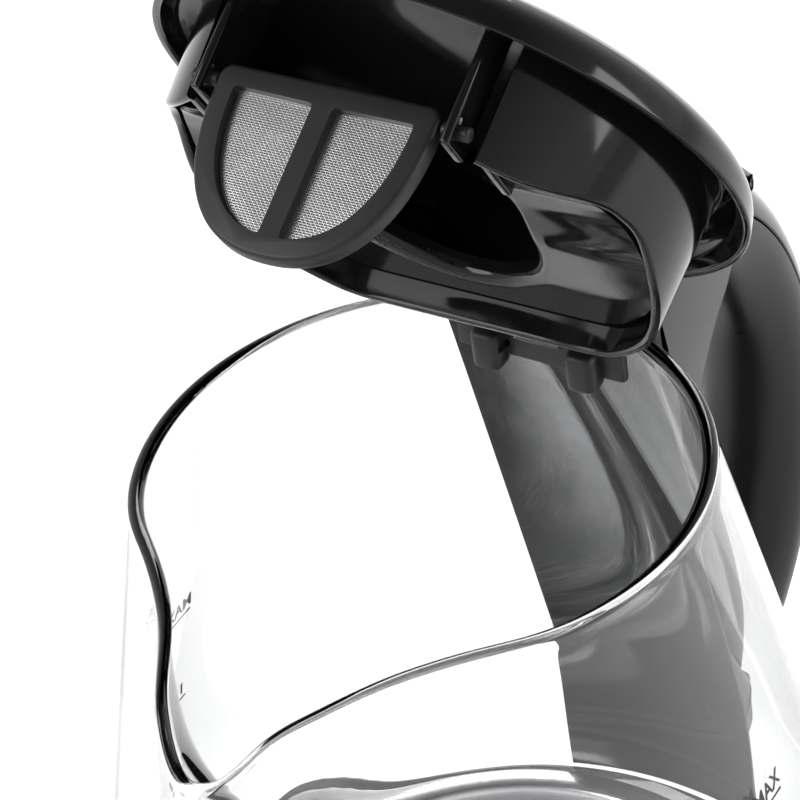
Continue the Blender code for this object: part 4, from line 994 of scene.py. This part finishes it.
@dataclass
class Handle:
    """The grip with its glossy cover, the spine up the glass, the head and the foot."""

    reach: float = 148.5
    half_width: float = 13.5
    half_depth: float = 12.0
    wall: float = 2.4
    parting: float = math.radians(14)
    spine_half: float = 24.6
    spine_wall: float = 3.4
    spine_depth: float = 158.0
    head_half: float = 17.0
    foot_half: float = 14.5
    bay_half: float = 9.3

    def line(self, steps: int) -> tuple[np.ndarray, np.ndarray]:
        """The grip's centre line in XZ and the outward normals along it."""
        x = self.reach - self.half_depth
        offsets = [(-31, -11), (-20, -20.5), (-9.6, -35), (-2.4, -53), (0, -73), (-2.5, -93), (-9.5, -111),
                   (-20, -123.5), (-32, -131)]
        line = catmull([(x + dx, RIM + dz) for dx, dz in offsets], steps)
        along = np.gradient(line, axis=0)
        along /= np.linalg.norm(along, axis=1)[:, None]
        return line, np.stack([-along[:, 1], along[:, 0]], -1)

    def band(self, start: float, end: float, steps: int = 72) -> Shape:
        """A band of the grip's oval wall between two angles, swept along the centre line."""
        turn = np.linspace(start, end, 40)
        outer = np.stack([self.half_width * np.cos(turn), self.half_depth * np.sin(turn)], -1)
        thin = np.array([self.half_width - self.wall, self.half_depth - self.wall])
        inner = np.stack([thin[0] * np.cos(turn), thin[1] * np.sin(turn)], -1)
        section = fillet(np.vstack([outer, inner[::-1]]), 0.3, 2)
        line, out = self.line(steps)
        across = np.repeat(section[None, :, 0], steps, 0)
        xz = line[:, None, :] + section[None, :, 1:] * out[:, None, :]
        return grid(np.stack([xz[..., 0], across, xz[..., 1]], -1), wrap_columns=True, caps=True)

    def spine(self) -> Shape:
        """The strip on the glass, with edges that fall off by (y/w)^10, one wide groove and two fine ones."""
        depths = np.linspace(5.0, self.spine_depth, 60)
        y = np.linspace(-self.spine_half, self.spine_half, 65)
        inner = JUG.radius(np.minimum(depths, JUG.depth - JUG.foot))[:, None] + 0.45
        round_edge = 1 - np.abs(y / self.spine_half) ** 10
        groove = 0.9 * np.exp(-((y / 2.4) ** 4)) + 0.5 * np.exp(-(((np.abs(y) - 17.5) / 1.1) ** 2))
        outer = inner + 0.9 + (self.spine_wall - 0.9) * round_edge - groove
        width, height = np.broadcast_arrays(y, RIM - depths[:, None])
        front, back = (np.stack([np.sqrt(skin**2 - y**2), width, height], -1) for skin in (inner, outer))
        return grid(np.concatenate([front, back[:, ::-1]], 1), wrap_columns=True, caps=True)

    def back(self, depth: float) -> float:
        """How far the spine's outer face stands from the jug's axis, with clearance."""
        return float(JUG.radius(min(depth, JUG.depth - JUG.foot))) + self.spine_wall + 3 * GAP

    def end(self, first: bool) -> tuple[Sequence[float], Sequence[float]]:
        """The grip's end cross line in XZ, a clearance beyond the end: outer point, inner point."""
        line, out = self.line(72)
        k, step = (0, -1) if first else (-1, 1)
        along = np.array([out[k][1], -out[k][0]])
        centre = line[k] + along * GAP * step
        return centre + out[k] * self.half_depth, centre - out[k] * self.half_depth

    def build(self, bench: Bench) -> None:
        """Builds the grip's shells, spine, head and foot."""
        seam = GAP / self.half_width
        body = self.band(self.parting - seam, -math.pi - self.parting + seam)
        bench.add("grip_body", body, HANDLE_SATIN, Body.KETTLE, "handle_body")
        cover = self.band(self.parting + seam, math.pi - self.parting - seam)
        bench.add("grip_cover", cover, BLACK_GLOSS, Body.KETTLE, "handle_cover")
        bench.add("spine", self.spine(), SPINE_SATIN, Body.KETTLE, "handle_spine")
        self.head(bench)
        self.foot(bench)

    def head(self, bench: Bench) -> None:
        """The upper mount, softly rounded, with the latch's channel and the button's well."""
        outer, inner = self.end(True)
        b, back, x0, x1 = self.back, HINGE[0] + 8.9, Button.x, Button.x + Button.length
        corners = [(b(4), RIM - 4), (b(20), RIM - 20), (b(40), RIM - 40), (b(63), RIM - 63), (b(54) + 5, RIM - 50),
                   (b(44) + 12, RIM - 38), (b(34) + 21, RIM - 27.5), inner, outer,
                   (x1 + 8.5, RIM + 8.6), (x1, RIM + 18.2), (back + 4, RIM + 19), (back, RIM + 17),
                   (back, RIM + 1.4), (b(4), RIM + 1.4)]
        radii = [1, 6, 6, 1, 6, 6, 6, 0.6, 0.6, 6, 5, 2, 2, 1, 1]
        head = bench.mesh("head", plate(fillet(corners, radii, 8), -self.head_half, self.head_half, 3.6))
        low, slot, well = RIM + Latch.low - 0.7, Latch.half + 0.7, Button.half + 0.6
        bench.carve(head, [cutter((back - 5, x0 + 2), (low, low + 3.2), slot),
                           cutter((x0 - 1.7, x1 + 6), (low, low + 3.3), well),
                           cutter((x0 - 0.6, x1 + 0.6), (low + 1, RIM + 30), well)])
        bench.dress(head, HANDLE_SATIN, Body.KETTLE, ["handle_head"])

    def foot(self, bench: Bench) -> None:
        """The lower mount, softly rounded, with the bay of the switch and its lever."""
        outer, inner = self.end(False)
        d, b = JUG.depth - JUG.foot + 10, self.back
        corners = [(b(104), RIM - 104), (b(126), RIM - 126), (b(JUG.depth - JUG.foot), RIM - JUG.depth + JUG.foot),
                   (b(d), RIM - d), (outer[0] - 8, RIM - d), (outer[0] - 3, RIM - d + 2), outer, inner,
                   (b(108) + 8, RIM - 110)]
        outline = fillet(corners, [1, 6, 3, 2, 2, 2, 0.6, 0.6, 8], 8)
        foot = bench.mesh("foot", plate(outline, -self.foot_half, self.foot_half, 3.2))
        x, z = Lever.x, Lever.z()
        bench.carve(foot, [cutter((x - 8.5, x + 40), (z - 20, z + 5.2), self.bay_half),
                           cutter((x - 8.5, x + 7), (z - 8, z + 16.5), self.bay_half)])
        bench.dress(foot, HANDLE_SATIN, Body.KETTLE, ["handle_foot"])


@dataclass
class Button:
    """The lid's release button and the coil under it."""

    x: float = 77.2
    length: float = 18.0
    half: float = 9.4
    top: float = 20.6
    thickness: float = 5.0
    travel: float = 3.2  # a little more than the key moves
    wire: float = 0.55

    def build(self, bench: Bench) -> None:
        """A key with rounded edges and its square stem."""
        x0, x1, top = self.x, self.x + self.length, RIM + self.top
        key = soft_block((x0, x1), (-self.half, self.half), (top - self.thickness, top), 1.1)
        stem_low = RIM + Latch.low + Latch.thickness + 0.8
        centre = x0 + self.length / 2
        stem = soft_block((centre - 3, centre + 3), (-4, 4), (stem_low, top - self.thickness + 1), 0.4)
        made = bench.mesh("open_button", key)
        bench.carve(made, [stem], "UNION")
        bench.dress(made, BLACK_GLOSS, Body.BUTTON, ["release_button"])
        self.spring(bench, centre, stem_low + 0.7)

    def spring(self, bench: Bench, centre: float, low: float) -> None:
        """The coil under the key, given a mesh of its own."""
        rise = RIM + self.top - self.thickness - low - 0.9
        made = bench.add("key_spring", coil(6.3, self.wire, 3.5, rise).moved(centre, 0, low), SPRING_STEEL,
                         Body.KETTLE, "button_spring")
        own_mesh(made)


@dataclass
class Latch:
    """Sizes of the slide that holds the lid shut."""

    half: float = 5.5
    low: float = 5.9
    thickness: float = 1.9


@dataclass
class Lever:
    """The on and off lever at the handle's foot."""

    x: float = BODY_RADIUS + 3.4 + 0.9 + 12.0
    half: float = 8.5

    @staticmethod
    def z() -> float:
        """The pin's height."""
        return RIM - JUG.depth + JUG.foot - 3.0

    def build(self, bench: Bench) -> None:
        """The rocker with its rounded paddle, and the pin's bore."""
        x, z = self.x, self.z()
        corners = [(x - 3.4, z - 2.6), (x, z - 4.2), (x + 4, z - 4), (x + 21.5, z - 7.6), (x + 24, z - 6.6),
                   (x + 23, z - 4.2), (x + 5, z + 2.2), (x + 1, z + 4.2), (x - 3, z + 3.6), (x - 4, z + 1)]
        lever = bench.mesh("lever", plate(fillet(corners, 1.2, 6), -self.half, self.half, 0.9))
        bench.carve(lever, [rod(1.75, (-20, 20), axis="y").moved(x, 0, z)])
        bench.dress(lever, BLACK_GLOSS, Body.LEVER, ["switch_lever"])


@dataclass
class HingeBlock:
    """The moulding hooked over the rim that carries the hinge pin, its springs and the clear clip."""

    face: float = 46.5
    half: float = 19.0
    bridge_half: float = 16.5
    bridge_top: float = 5.4
    block_low: float = -8.0
    bump: float = 6.5
    spacing: float = 21.4
    proud: float = 4.0
    knuckle: float = 6.5
    knuckle_span: tuple[float, float] = (7.0, 12.0)
    pin_reach: float = 23.2

    def build(self, bench: Bench) -> None:
        """Builds the bracket with its two bumps and knuckles, then the clip, pin and springs."""
        inside = JUG.rim_radius - JUG.bead - 1.0
        y = np.linspace(-self.half, self.half, 15)
        rear = np.stack([np.sqrt(inside**2 - y**2), y], -1)
        outline = np.vstack([[(self.face, -self.half)], rear, [(self.face, self.half)]])
        hook = plate(fillet(outline, 1.0, 3), RIM + self.block_low, RIM + self.bridge_top - 0.4, 0.6, "xy")
        body = bench.mesh("rim_bracket", hook)
        bridge = soft_block((self.face + 0.4, HINGE[0] + 2), (-self.bridge_half, self.bridge_half),
                            (RIM + JUG.bead + 0.6, RIM + self.bridge_top), 0.9)
        joined = [bridge]
        for side in (-1, 1):
            mid = side * self.spacing / 2
            joined.append(soft_block((self.face - self.proud, self.face + 2),
                                     (mid - self.bump / 2, mid + self.bump / 2),
                                     (RIM + self.block_low - 2, RIM + self.block_low + 7), 1.3))
            knuckle = rod(self.knuckle, to_side(side, *self.knuckle_span), 0.7, 64, "y")
            joined.append(knuckle.moved(HINGE[0], 0, HINGE[2]))
        bench.carve(body, joined, "UNION")
        bore = rod(HINGE_BORE, (-20, 20), segments=48, axis="y").moved(HINGE[0], 0, HINGE[2])
        pocket = soft_block((self.face - 2, self.face + 1.6), (-5.6, 5.6), (RIM - 2.8, RIM + 2.2), 0.3)
        hole = rod(0.9, (self.face - 3, self.face + 3), segments=24, axis="x")
        bench.carve(body, [bore, pocket, hole.moved(0, 7.4, RIM - 4.6)])
        bench.dress(body, BLACK_SATIN, Body.KETTLE, ["hinge_bracket"])
        clip = soft_block((self.face - 1.2, self.face + 1.2), (-5.2, 5.2), (RIM - 2.4, RIM + 1.8), 0.5)
        bench.add("clear_window", clip, CLEAR_PLASTIC, Body.KETTLE, "clear_clip")
        self.pin(bench)

    def pin(self, bench: Bench) -> None:
        """The hinge pin with domed ends and the two torsion springs on it."""
        pin = rod(HINGE_PIN, (-self.pin_reach, self.pin_reach), 0.6, 48, "y")
        bench.add("pin", pin.moved(HINGE[0], 0, HINGE[2]), PIN_STEEL, Body.KETTLE, "hinge_pin")
        for side, name in ((-1, "left"), (1, "right")):
            wire = coil(3.6, 0.55, 3.2, 3.4).mapped(
                lambda p, side=side: np.stack([p[:, 0], side * (p[:, 2] + 12.9), p[:, 1]], -1))
            bench.add(f"torsion_spring_{name}", wire.moved(HINGE[0], 0, HINGE[2]), SPRING_STEEL, Body.KETTLE,
                      f"lid_spring_{name}")


@dataclass
class Lid:
    """The lid, shaped closed and turned open: outer shell, plug wall, floor, filter bay and hinge lugs."""

    skirt: float = 58.9
    clearance: float = 2.3
    shell_wall: float = 1.7
    rise: float = 17.2
    deck: float = 8.5
    deck_wall: float = 1.6
    deck_radius: float = 51.4
    plug: float = 50.7
    taper: float = 1.4
    taper_top: float = 10.0
    taper_height: float = 29.8
    wall: float = 2.0
    rear: float = 40.8
    depth: float = 19.8
    floor_front: float = 17.0
    floor_crest: float = 12.0
    floor: float = 14.0
    floor_wall: float = 1.8
    bay: float = 28.6
    notch: float = 47.0
    notch_half: float = 30.0
    oval: tuple[float, float] = (34.0, 25.0)
    oval_centre: float = -2.0
    screws: tuple[float, float] = (22.0, 30.0)
    ears: tuple[float, float] = (17.6, 22.0)
    ear_radius: float = 7.0

    def opened(self, shape: Shape) -> Shape:
        """A closed-lid shape turned open about the hinge."""
        return shape.turned_y(LID_OPEN, HINGE)

    def shell(self, bench: Bench) -> None:
        """The domed outer shell with its straight skirt, cut away over the hinge."""
        r, w, low, top = self.skirt, self.shell_wall, RIM + self.clearance, RIM + self.rise
        corners = [(0, top), (30, top - 0.7), (44, top - 2.4), (r - 6.4, top - 5.2), (r - 1.3, top - 9), (r, low),
                   (r - w, low), (r - w - 1.2, top - 9.6), (r - w - 6, top - 6.6), (43.2, top - 4.1),
                   (30, top - 0.7 - w), (0, top - w)]
        radii = [0, 6, 6, 4, 3.2, 0.6, 0.6, 3, 3, 5, 5, 0]
        shell = bench.mesh("lid_dome", revolve(fillet(corners, radii, 6, closed=False), 256, False))
        notch = soft_block((self.notch, 90), (-self.notch_half, self.notch_half), (RIM - 5, RIM + 40), 1.2)
        bench.carve(shell, [notch])
        shell.data.transform(opening())
        bench.dress(shell, LID_GLOSS, Body.LID, ["lid_shell"])

    def floor_depth(self, x: np.ndarray) -> np.ndarray:
        """The floor's depth below the rim: 17 in front, rising by a smoothstep to 12, then falling to 14 behind."""
        crest = (self.floor_front - self.floor_crest) * smoothstep((x + 38) / 22)
        return self.floor_front - crest + (self.floor - self.floor_crest) * smoothstep((x + 12) / 16)

    def wall_depth(self, x: np.ndarray) -> np.ndarray:
        """The plug wall's depth: flush with the floor in front, a raised rim behind."""
        return self.floor_depth(x) + (self.depth - self.floor) * smoothstep((x + 13) / 38)

    def outline(self, turn: np.ndarray, rise: np.ndarray | float, inset: float = 0.0) -> np.ndarray:
        """Radius of the plug at angles from +X: a tapering round cut off by a flat rear, softened at the corners.

        The soft minimum of the two radii is (a^-n + b^-n)^(-1/n) with n of 40.
        """
        lean = self.taper * (self.taper_top - rise) / self.taper_height
        round_wall = self.plug - lean - inset
        flat = (self.rear - inset) / np.maximum(np.cos(turn), 0.15)
        return (round_wall**-40.0 + flat**-40.0) ** (-1 / 40)

    def wall_shape(self) -> Shape:
        """The plug's wall from one side of the bay round the rear to the other, with a rounded lower lip."""
        limit = math.pi - math.asin((self.bay + self.wall / 2) / (self.plug - 1))
        turn = np.linspace(-limit, limit, 260)
        low = -self.wall_depth(self.outline(turn, 0.0) * np.cos(turn))
        top = self.deck + 0.8
        section = [(top, 0.0, 0), (0.9, 0.0, 1), (0.3, 0.12, 1), (0.0, 0.6, 1), (0.0, self.wall - 0.6, 1),
                   (0.3, self.wall - 0.12, 1), (0.9, self.wall, 1), (top, self.wall, 0)]
        rings = []
        for height, inset, from_low in section:
            rise = low + height if from_low else np.full_like(turn, height)
            radius = self.outline(turn, rise, inset)
            rings.append(np.stack([radius * np.cos(turn), radius * np.sin(turn), RIM + rise], -1))
        return grid(np.stack(rings, 1), wrap_columns=True, caps=True)

    def plug_parts(self) -> list[Shape]:
        """The bay's cheeks, the plates that the filter's pins turn in, and the hinge lugs."""
        parts = []
        front = -math.sqrt((self.plug - self.taper - 0.6) ** 2 - (self.bay + self.wall) ** 2)
        px, pz = SpoutFilter.x, RIM + SpoutFilter.top - SpoutFilter.drop
        deck = RIM + self.deck
        for side in (-1, 1):
            parts.append(soft_block((front, front + 13), to_side(side, self.bay, self.bay + self.wall),
                                    (RIM - self.floor_front + 0.6, deck + 0.9), 0.5))
            inner = SpoutFilter.half_width + 2
            parts.append(soft_block((px - 3.2, px + 5), to_side(side, inner, inner + 1.8),
                                    (pz - 3.4, deck + 0.6), 0.4))
            turn, ear = np.radians(np.linspace(-120, 120, 30)), self.ear_radius
            eye = np.stack([HINGE[0] + ear * np.cos(turn), HINGE[2] + ear * np.sin(turn)], -1)
            lug = np.vstack([[(self.notch - 8, deck - 1.4), (self.notch + 2, deck - 2.8)], eye,
                             [(self.notch + 0.8, deck + 0.8), (self.notch - 8, deck + 0.8)]])
            parts.append(plate(lug, *to_side(side, *self.ears), 0.4))
        return parts

    def plug_piece(self, bench: Bench) -> None:
        """The deck, the plug's wall and the parts on it as one moulding, with its bores and square holes."""
        deck = (RIM + self.deck, RIM + self.deck + self.deck_wall)
        plug = bench.mesh("plug", rod(self.deck_radius, deck, 0.4, 200))
        rear = soft_block((self.notch - 1, 90), (-33, 33), (RIM, RIM + 40), 0.5)
        bench.carve(plug, [rear])
        bench.carve(plug, [self.wall_shape(), *self.plug_parts()], "UNION")
        px, pz = SpoutFilter.x, RIM + SpoutFilter.top - SpoutFilter.drop
        holes = [rod(HINGE_BORE, (-30, 30), segments=48, axis="y").moved(HINGE[0], 0, HINGE[2]),
                 rod(1.75, (-27.6, 27.6), axis="y").moved(px, 0, pz)]
        for side in (-1, 1):
            ends = to_side(side, SpoutFilter.half_width + 1, SpoutFilter.half_width + 4.5)
            holes.append(soft_block((px - 2.1, px + 2.1), ends, (pz - 2.1, pz + 2.1), 0.2))
        bench.carve(plug, holes)
        plug.data.transform(opening())
        bench.dress(plug, LID_GLOSS, Body.LID, ["lid_plug"])

    def floor_shape(self) -> Shape:
        """The floor with its lipped oval opening.

        From the plug's wall to the opening's edge the sheet eases from one outline to the other, and round the
        opening it turns up by a quarter circle.
        """
        limit = math.pi - math.asin((self.bay + 7) / (self.plug - 1))
        turn = np.linspace(-limit, limit, 220)
        outer = self.outline(turn, -self.floor, self.wall + 3 * GAP)
        ox, oy = outer * np.cos(turn), outer * np.sin(turn)
        ix, iy = self.oval_centre + self.oval[0] * np.cos(turn), self.oval[1] * np.sin(turn)

        def sheet(share: float, rise: float) -> np.ndarray:
            """A ring of the sheet, a share of the way from the wall to the opening."""
            x, y = ox + (ix - ox) * share, oy + (iy - oy) * share
            return np.stack([x, y, RIM - self.floor_depth(x) + rise], -1)

        def lip(inwards: float, rise: float) -> np.ndarray:
            """A ring of the lip, inwards from the opening's outline."""
            x, y = ix - inwards * np.cos(turn), iy - inwards * np.sin(turn)
            return np.stack([x, y, RIM - self.floor_depth(ix) + rise], -1)

        bend = 2.2
        rings = [sheet(share, 0.0) for share in np.linspace(0, 1, 12)]
        rings += [lip(bend * math.sin(a), bend * (1 - math.cos(a))) for a in np.radians([22, 45, 67, 90])]
        rings += [lip(bend, 2 * bend), lip(0.8, 2 * bend), lip(0.8, 2.8), lip(-0.8, self.floor_wall)]
        rings += [sheet(share, self.floor_wall) for share in np.linspace(0.9, 0, 10)]
        return grid(np.stack(rings, 1), wrap_columns=True, caps=True)

    def build(self, bench: Bench) -> None:
        """Builds the shell, plug, floor and screws."""
        self.shell(bench)
        self.plug_piece(bench)
        bench.add("plug_floor", self.opened(self.floor_shape()), LID_GLOSS, Body.LID, "lid_floor")
        x, y = self.screws
        for k, side in enumerate((-1, 1), 1):
            screw = cross_screw(2.6, SCREW_SHANK, 7.0).moved(x, side * y, RIM + self.deck - 1.9)
            bench.add(f"deck_screw_{k}", self.opened(screw), SCREW_STEEL, Body.LID, f"lid_screw_{k}")


def opening() -> Matrix:
    """The turn that opens the lid about its hinge, as a matrix in metres."""
    place = Matrix.Translation([c * MM for c in HINGE])
    return place @ Matrix.Rotation(LID_OPEN, 4, "Y") @ place.inverted()


@dataclass
class SpoutFilter:
    """The swinging filter behind the spout: a grey frame with a rib, two gauzes and two pins."""

    x: float = -42.0
    thickness: float = 4.0
    half_width: float = 22.2
    top: float = -10.5
    height: float = 33.5
    border: float = 4.0
    rib: float = 4.0
    drop: float = 3.0
    shoulder: float = 4.0
    power: float = 2.3
    pin: float = 1.4

    def shield(self) -> np.ndarray:
        """The frame's outline: a superellipse below, |y/w|^2.3 + |z/d|^2.3 = 1, and a flat top."""
        w, depth = self.half_width, self.height - self.shoulder
        shoulder, top = RIM + self.top - self.shoulder, RIM + self.top
        turn = np.linspace(0, math.pi, 60)
        power = 2 / self.power
        y = w * np.sign(np.cos(turn)) * np.abs(np.cos(turn)) ** power
        low = np.stack([y, shoulder - depth * np.sin(turn) ** power], -1)
        across = np.linspace(-w + 2.5, w - 2.5, 12)
        head = np.stack([across, np.full_like(across, top)], -1)
        corners = np.radians(np.linspace(80, 10, 5))
        left = np.stack([-w + 2.5 - 2.5 * np.sin(corners[::-1]), top - 2.5 + 2.5 * np.cos(corners[::-1])], -1)
        right = np.stack([w - 2.5 + 2.5 * np.cos(corners), top - 2.5 + 2.5 * np.sin(corners)], -1)
        return np.vstack([low[::-1], right[::-1], head[::-1], left])

    def window(self, side: int, margin: float) -> np.ndarray:
        """One of the two windows beside the rib: the shield's inside, cut by the rib and softened, by side."""
        inner = self.border + margin
        w, depth = self.half_width - inner, self.height - self.shoulder - inner
        shoulder = RIM + self.top - self.shoulder
        rib = self.rib / 2 + margin
        limit = math.acos((rib / w) ** (self.power / 2))
        turn = np.linspace(0, limit, 40)
        power = 2 / self.power
        low = np.stack([w * np.cos(turn) ** power, shoulder - depth * np.sin(turn) ** power], -1)
        whole = np.vstack([[(rib, shoulder - 0.2)], [(w, shoulder)], low[1:]])
        return fillet(whole, 0.9, 3) * [side, 1]

    def build(self, bench: Bench, lid: Lid) -> None:
        """Builds the frame, gauzes and pins, hung open with the lid."""
        x0, x1 = self.x - self.thickness / 2, self.x + self.thickness / 2
        border = bench.mesh("filter_border", plate(oriented(self.shield()), x0, x1, 0.9, "yz"))
        bench.carve(border, [plate(oriented(self.window(side, 0.0)), x0 - 2, x1 + 2, CUTTER_EDGE, "yz")
                            for side in (-1, 1)])
        border.data.transform(opening())
        bench.dress(border, FILTER_GREY, Body.FILTER, ["filter_frame"])
        for side, name in ((-1, "right"), (1, "left")):
            self.gauze(bench, lid, side, name)
            pin = rod(self.pin, to_side(side, self.half_width + GAP, lid.bay - 0.6), 0.5, 40, "y")
            pin = pin.moved(self.x, 0, RIM + self.top - self.drop)
            bench.add(f"filter_pin_{name}", lid.opened(pin), FILTER_GREY, Body.FILTER, f"filter_pivot_{name}")

    def gauze(self, bench: Bench, lid: Lid, side: int, name: str) -> None:
        """One gauze, a slightly bowed sheet whose UVs are its own millimetres."""
        edge = oriented(self.window(side, GAP))
        centre = edge.mean(0)
        shares = np.linspace(0, 1, 10)[:, None, None]
        rows = centre + (edge[None] - centre) * shares
        bow = 0.12 * (1 - shares[..., 0] ** 2) * np.ones(len(edge))
        front, rear = (np.stack([self.x + face - bow, rows[..., 0], rows[..., 1]], -1) for face in (-0.08, 0.08))
        made = bench.mesh(f"gauze_{name}", grid(np.concatenate([front, rear[::-1]]), wrap_columns=True))
        flat = np.empty(len(made.data.vertices) * 3)
        made.data.vertices.foreach_get("co", flat)
        place = flat.reshape(-1, 3)[:, 1:] / MM
        corners = np.empty(len(made.data.loops), int)
        made.data.loops.foreach_get("vertex_index", corners)
        layer = made.data.uv_layers.new(name="UVMap")
        layer.data.foreach_set("uv", place[corners].ravel())
        made.data.transform(opening())
        bench.dress(made, GAUZE, Body.FILTER, [f"filter_mesh_{name}"])


def oriented(outline: np.ndarray) -> np.ndarray:
    """An outline counter-clockwise, without repeated points."""
    keep = np.linalg.norm(outline - np.roll(outline, 1, 0), axis=1) > 1e-4
    outline = outline[keep]
    x, y = outline.T
    area = np.sum(x * np.roll(y, -1) - y * np.roll(x, -1))
    return outline if area > 0 else outline[::-1]


def dress_rest(bench: Bench) -> None:
    """Gives the model's own pieces that stay in view the finish of their slot."""
    for name, node in frame["nodes"].items():
        if node.hide_render:
            continue
        slot = node.get("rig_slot") or slot_of(name)
        node.data.materials.clear()
        node.data.materials.append(bench.material(BY_SLOT[slot]))
        LOG.info("%s keeps its own shape, in %s", name, slot)


def slot_of(name: str) -> str:
    """The record's material slot of a model node."""
    for part in frame["record"]["subparts"]:
        if part.get("node") == name or part.get("name") == name:
            return part.get("material_slot") or part.get("slot") or "black_satin"
    return "black_satin"


# Studio

FORWARD_AZIMUTH = math.radians(35.80)
FORWARD_FALL = math.radians(38.11)
ROLL = math.radians(-9.16)
JUG_MIDDLE = Vector((0, 0, 0.18))


@dataclass
class Studio:
    """Pale floor, soft light all round, and the camera."""

    camera: tuple[float, float, float] = (-0.4170, -0.2987, 0.6255)
    lens: float = 157.2

    def world(self) -> None:
        """A near-white surround that falls to grey overhead."""
        world = bpy.data.worlds.new("surround")
        bpy.context.scene.world = world
        world.use_nodes = True
        tree = world.node_tree
        tree.nodes.clear()
        place = tree.nodes.new("ShaderNodeTexCoord")
        split = tree.nodes.new("ShaderNodeSeparateXYZ")
        ramp = tree.nodes.new("ShaderNodeValToRGB")
        light = tree.nodes.new("ShaderNodeBackground")
        output = tree.nodes.new("ShaderNodeOutputWorld")
        tree.links.new(place.outputs["Generated"], split.inputs[0])
        tree.links.new(split.outputs[2], ramp.inputs[0])
        tree.links.new(ramp.outputs[0], light.inputs[0])
        tree.links.new(light.outputs[0], output.inputs[0])
        ramp.color_ramp.elements[0].position, ramp.color_ramp.elements[0].color = 0.25, (1, 1, 1, 1)
        ramp.color_ramp.elements[1].position, ramp.color_ramp.elements[1].color = 0.85, (0.16, 0.16, 0.165, 1)
        light.inputs[1].default_value = 1.0

    def lamp(self, name: str, place: Sequence[float], size: float, power: float) -> None:
        """A square soft light that faces the jug's middle."""
        data = bpy.data.lights.new(name, "AREA")
        data.size, data.energy = size, power
        lamp = bpy.data.objects.new(name, data)
        bpy.context.scene.collection.objects.link(lamp)
        lamp.location = place
        lamp.rotation_euler = (JUG_MIDDLE - lamp.location).to_track_quat("-Z", "Y").to_euler()

    def floor(self) -> None:
        """A wide pale disc under the base."""
        data = bpy.data.meshes.new("floor")
        turn = 2 * math.pi * np.arange(64) / 64
        points = np.stack([6 * np.cos(turn), 6 * np.sin(turn), np.full(64, -0.0002)], -1)
        data.from_pydata(points.tolist(), [], [list(range(64))])
        floor = bpy.data.objects.new("floor", data)
        bpy.context.scene.collection.objects.link(floor)
        recipe = Recipe("pale_floor")
        shade = recipe.node("BsdfPrincipled", {"Base Color": (0.93, 0.93, 0.93, 1), "Roughness": 0.6,
                                               "Emission Color": (1, 1, 1, 1), "Emission Strength": 0.25})
        data.materials.append(recipe.finish(shade.outputs[0]))

    def build(self) -> None:
        """Sets up the surround, floor, lights and camera."""
        self.world()
        self.floor()
        self.lamp("key", (-0.9, 0.9, 1.2), 0.9, 14.0)
        self.lamp("side", (0.5, -1.3, 0.7), 0.7, 9.0)
        self.lamp("back", (1.4, 0.6, 0.9), 0.8, 12.0)
        scene = bpy.context.scene
        scene.view_settings.view_transform = "Standard"
        fall, turn = FORWARD_FALL, FORWARD_AZIMUTH
        forward = np.array([math.cos(fall) * math.cos(turn), math.cos(fall) * math.sin(turn), -math.sin(fall)])
        right = np.cross(forward, [0, 0, 1])
        right /= np.linalg.norm(right)
        up = np.cross(right, forward)
        across = math.cos(ROLL) * right + math.sin(ROLL) * up
        over = -math.sin(ROLL) * right + math.cos(ROLL) * up
        data = bpy.data.cameras.new("camera")
        data.lens, data.sensor_width, data.clip_start = self.lens, 36.0, 0.01
        camera = bpy.data.objects.new("camera", data)
        scene.collection.objects.link(camera)
        columns = np.column_stack([across, over, -forward, self.camera])
        camera.matrix_world = Matrix([*columns.tolist(), [0, 0, 0, 1]])
        scene.camera = camera


def main() -> None:
    """Builds every sub-assembly in turn, then the studio."""
    logging.basicConfig(level=logging.INFO, format="%(name)s %(message)s")
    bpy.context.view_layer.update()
    bench = Bench()
    for part in (PowerBase(), KettleBase(), Heater(), GlassJug(), Handle(), HingeBlock(), Button(), Lever()):
        part.build(bench)
    lid = Lid()
    lid.build(bench)
    SpoutFilter().build(bench, lid)
    dress_rest(bench)
    Studio().build()


if __name__ == "__main__":
    main()
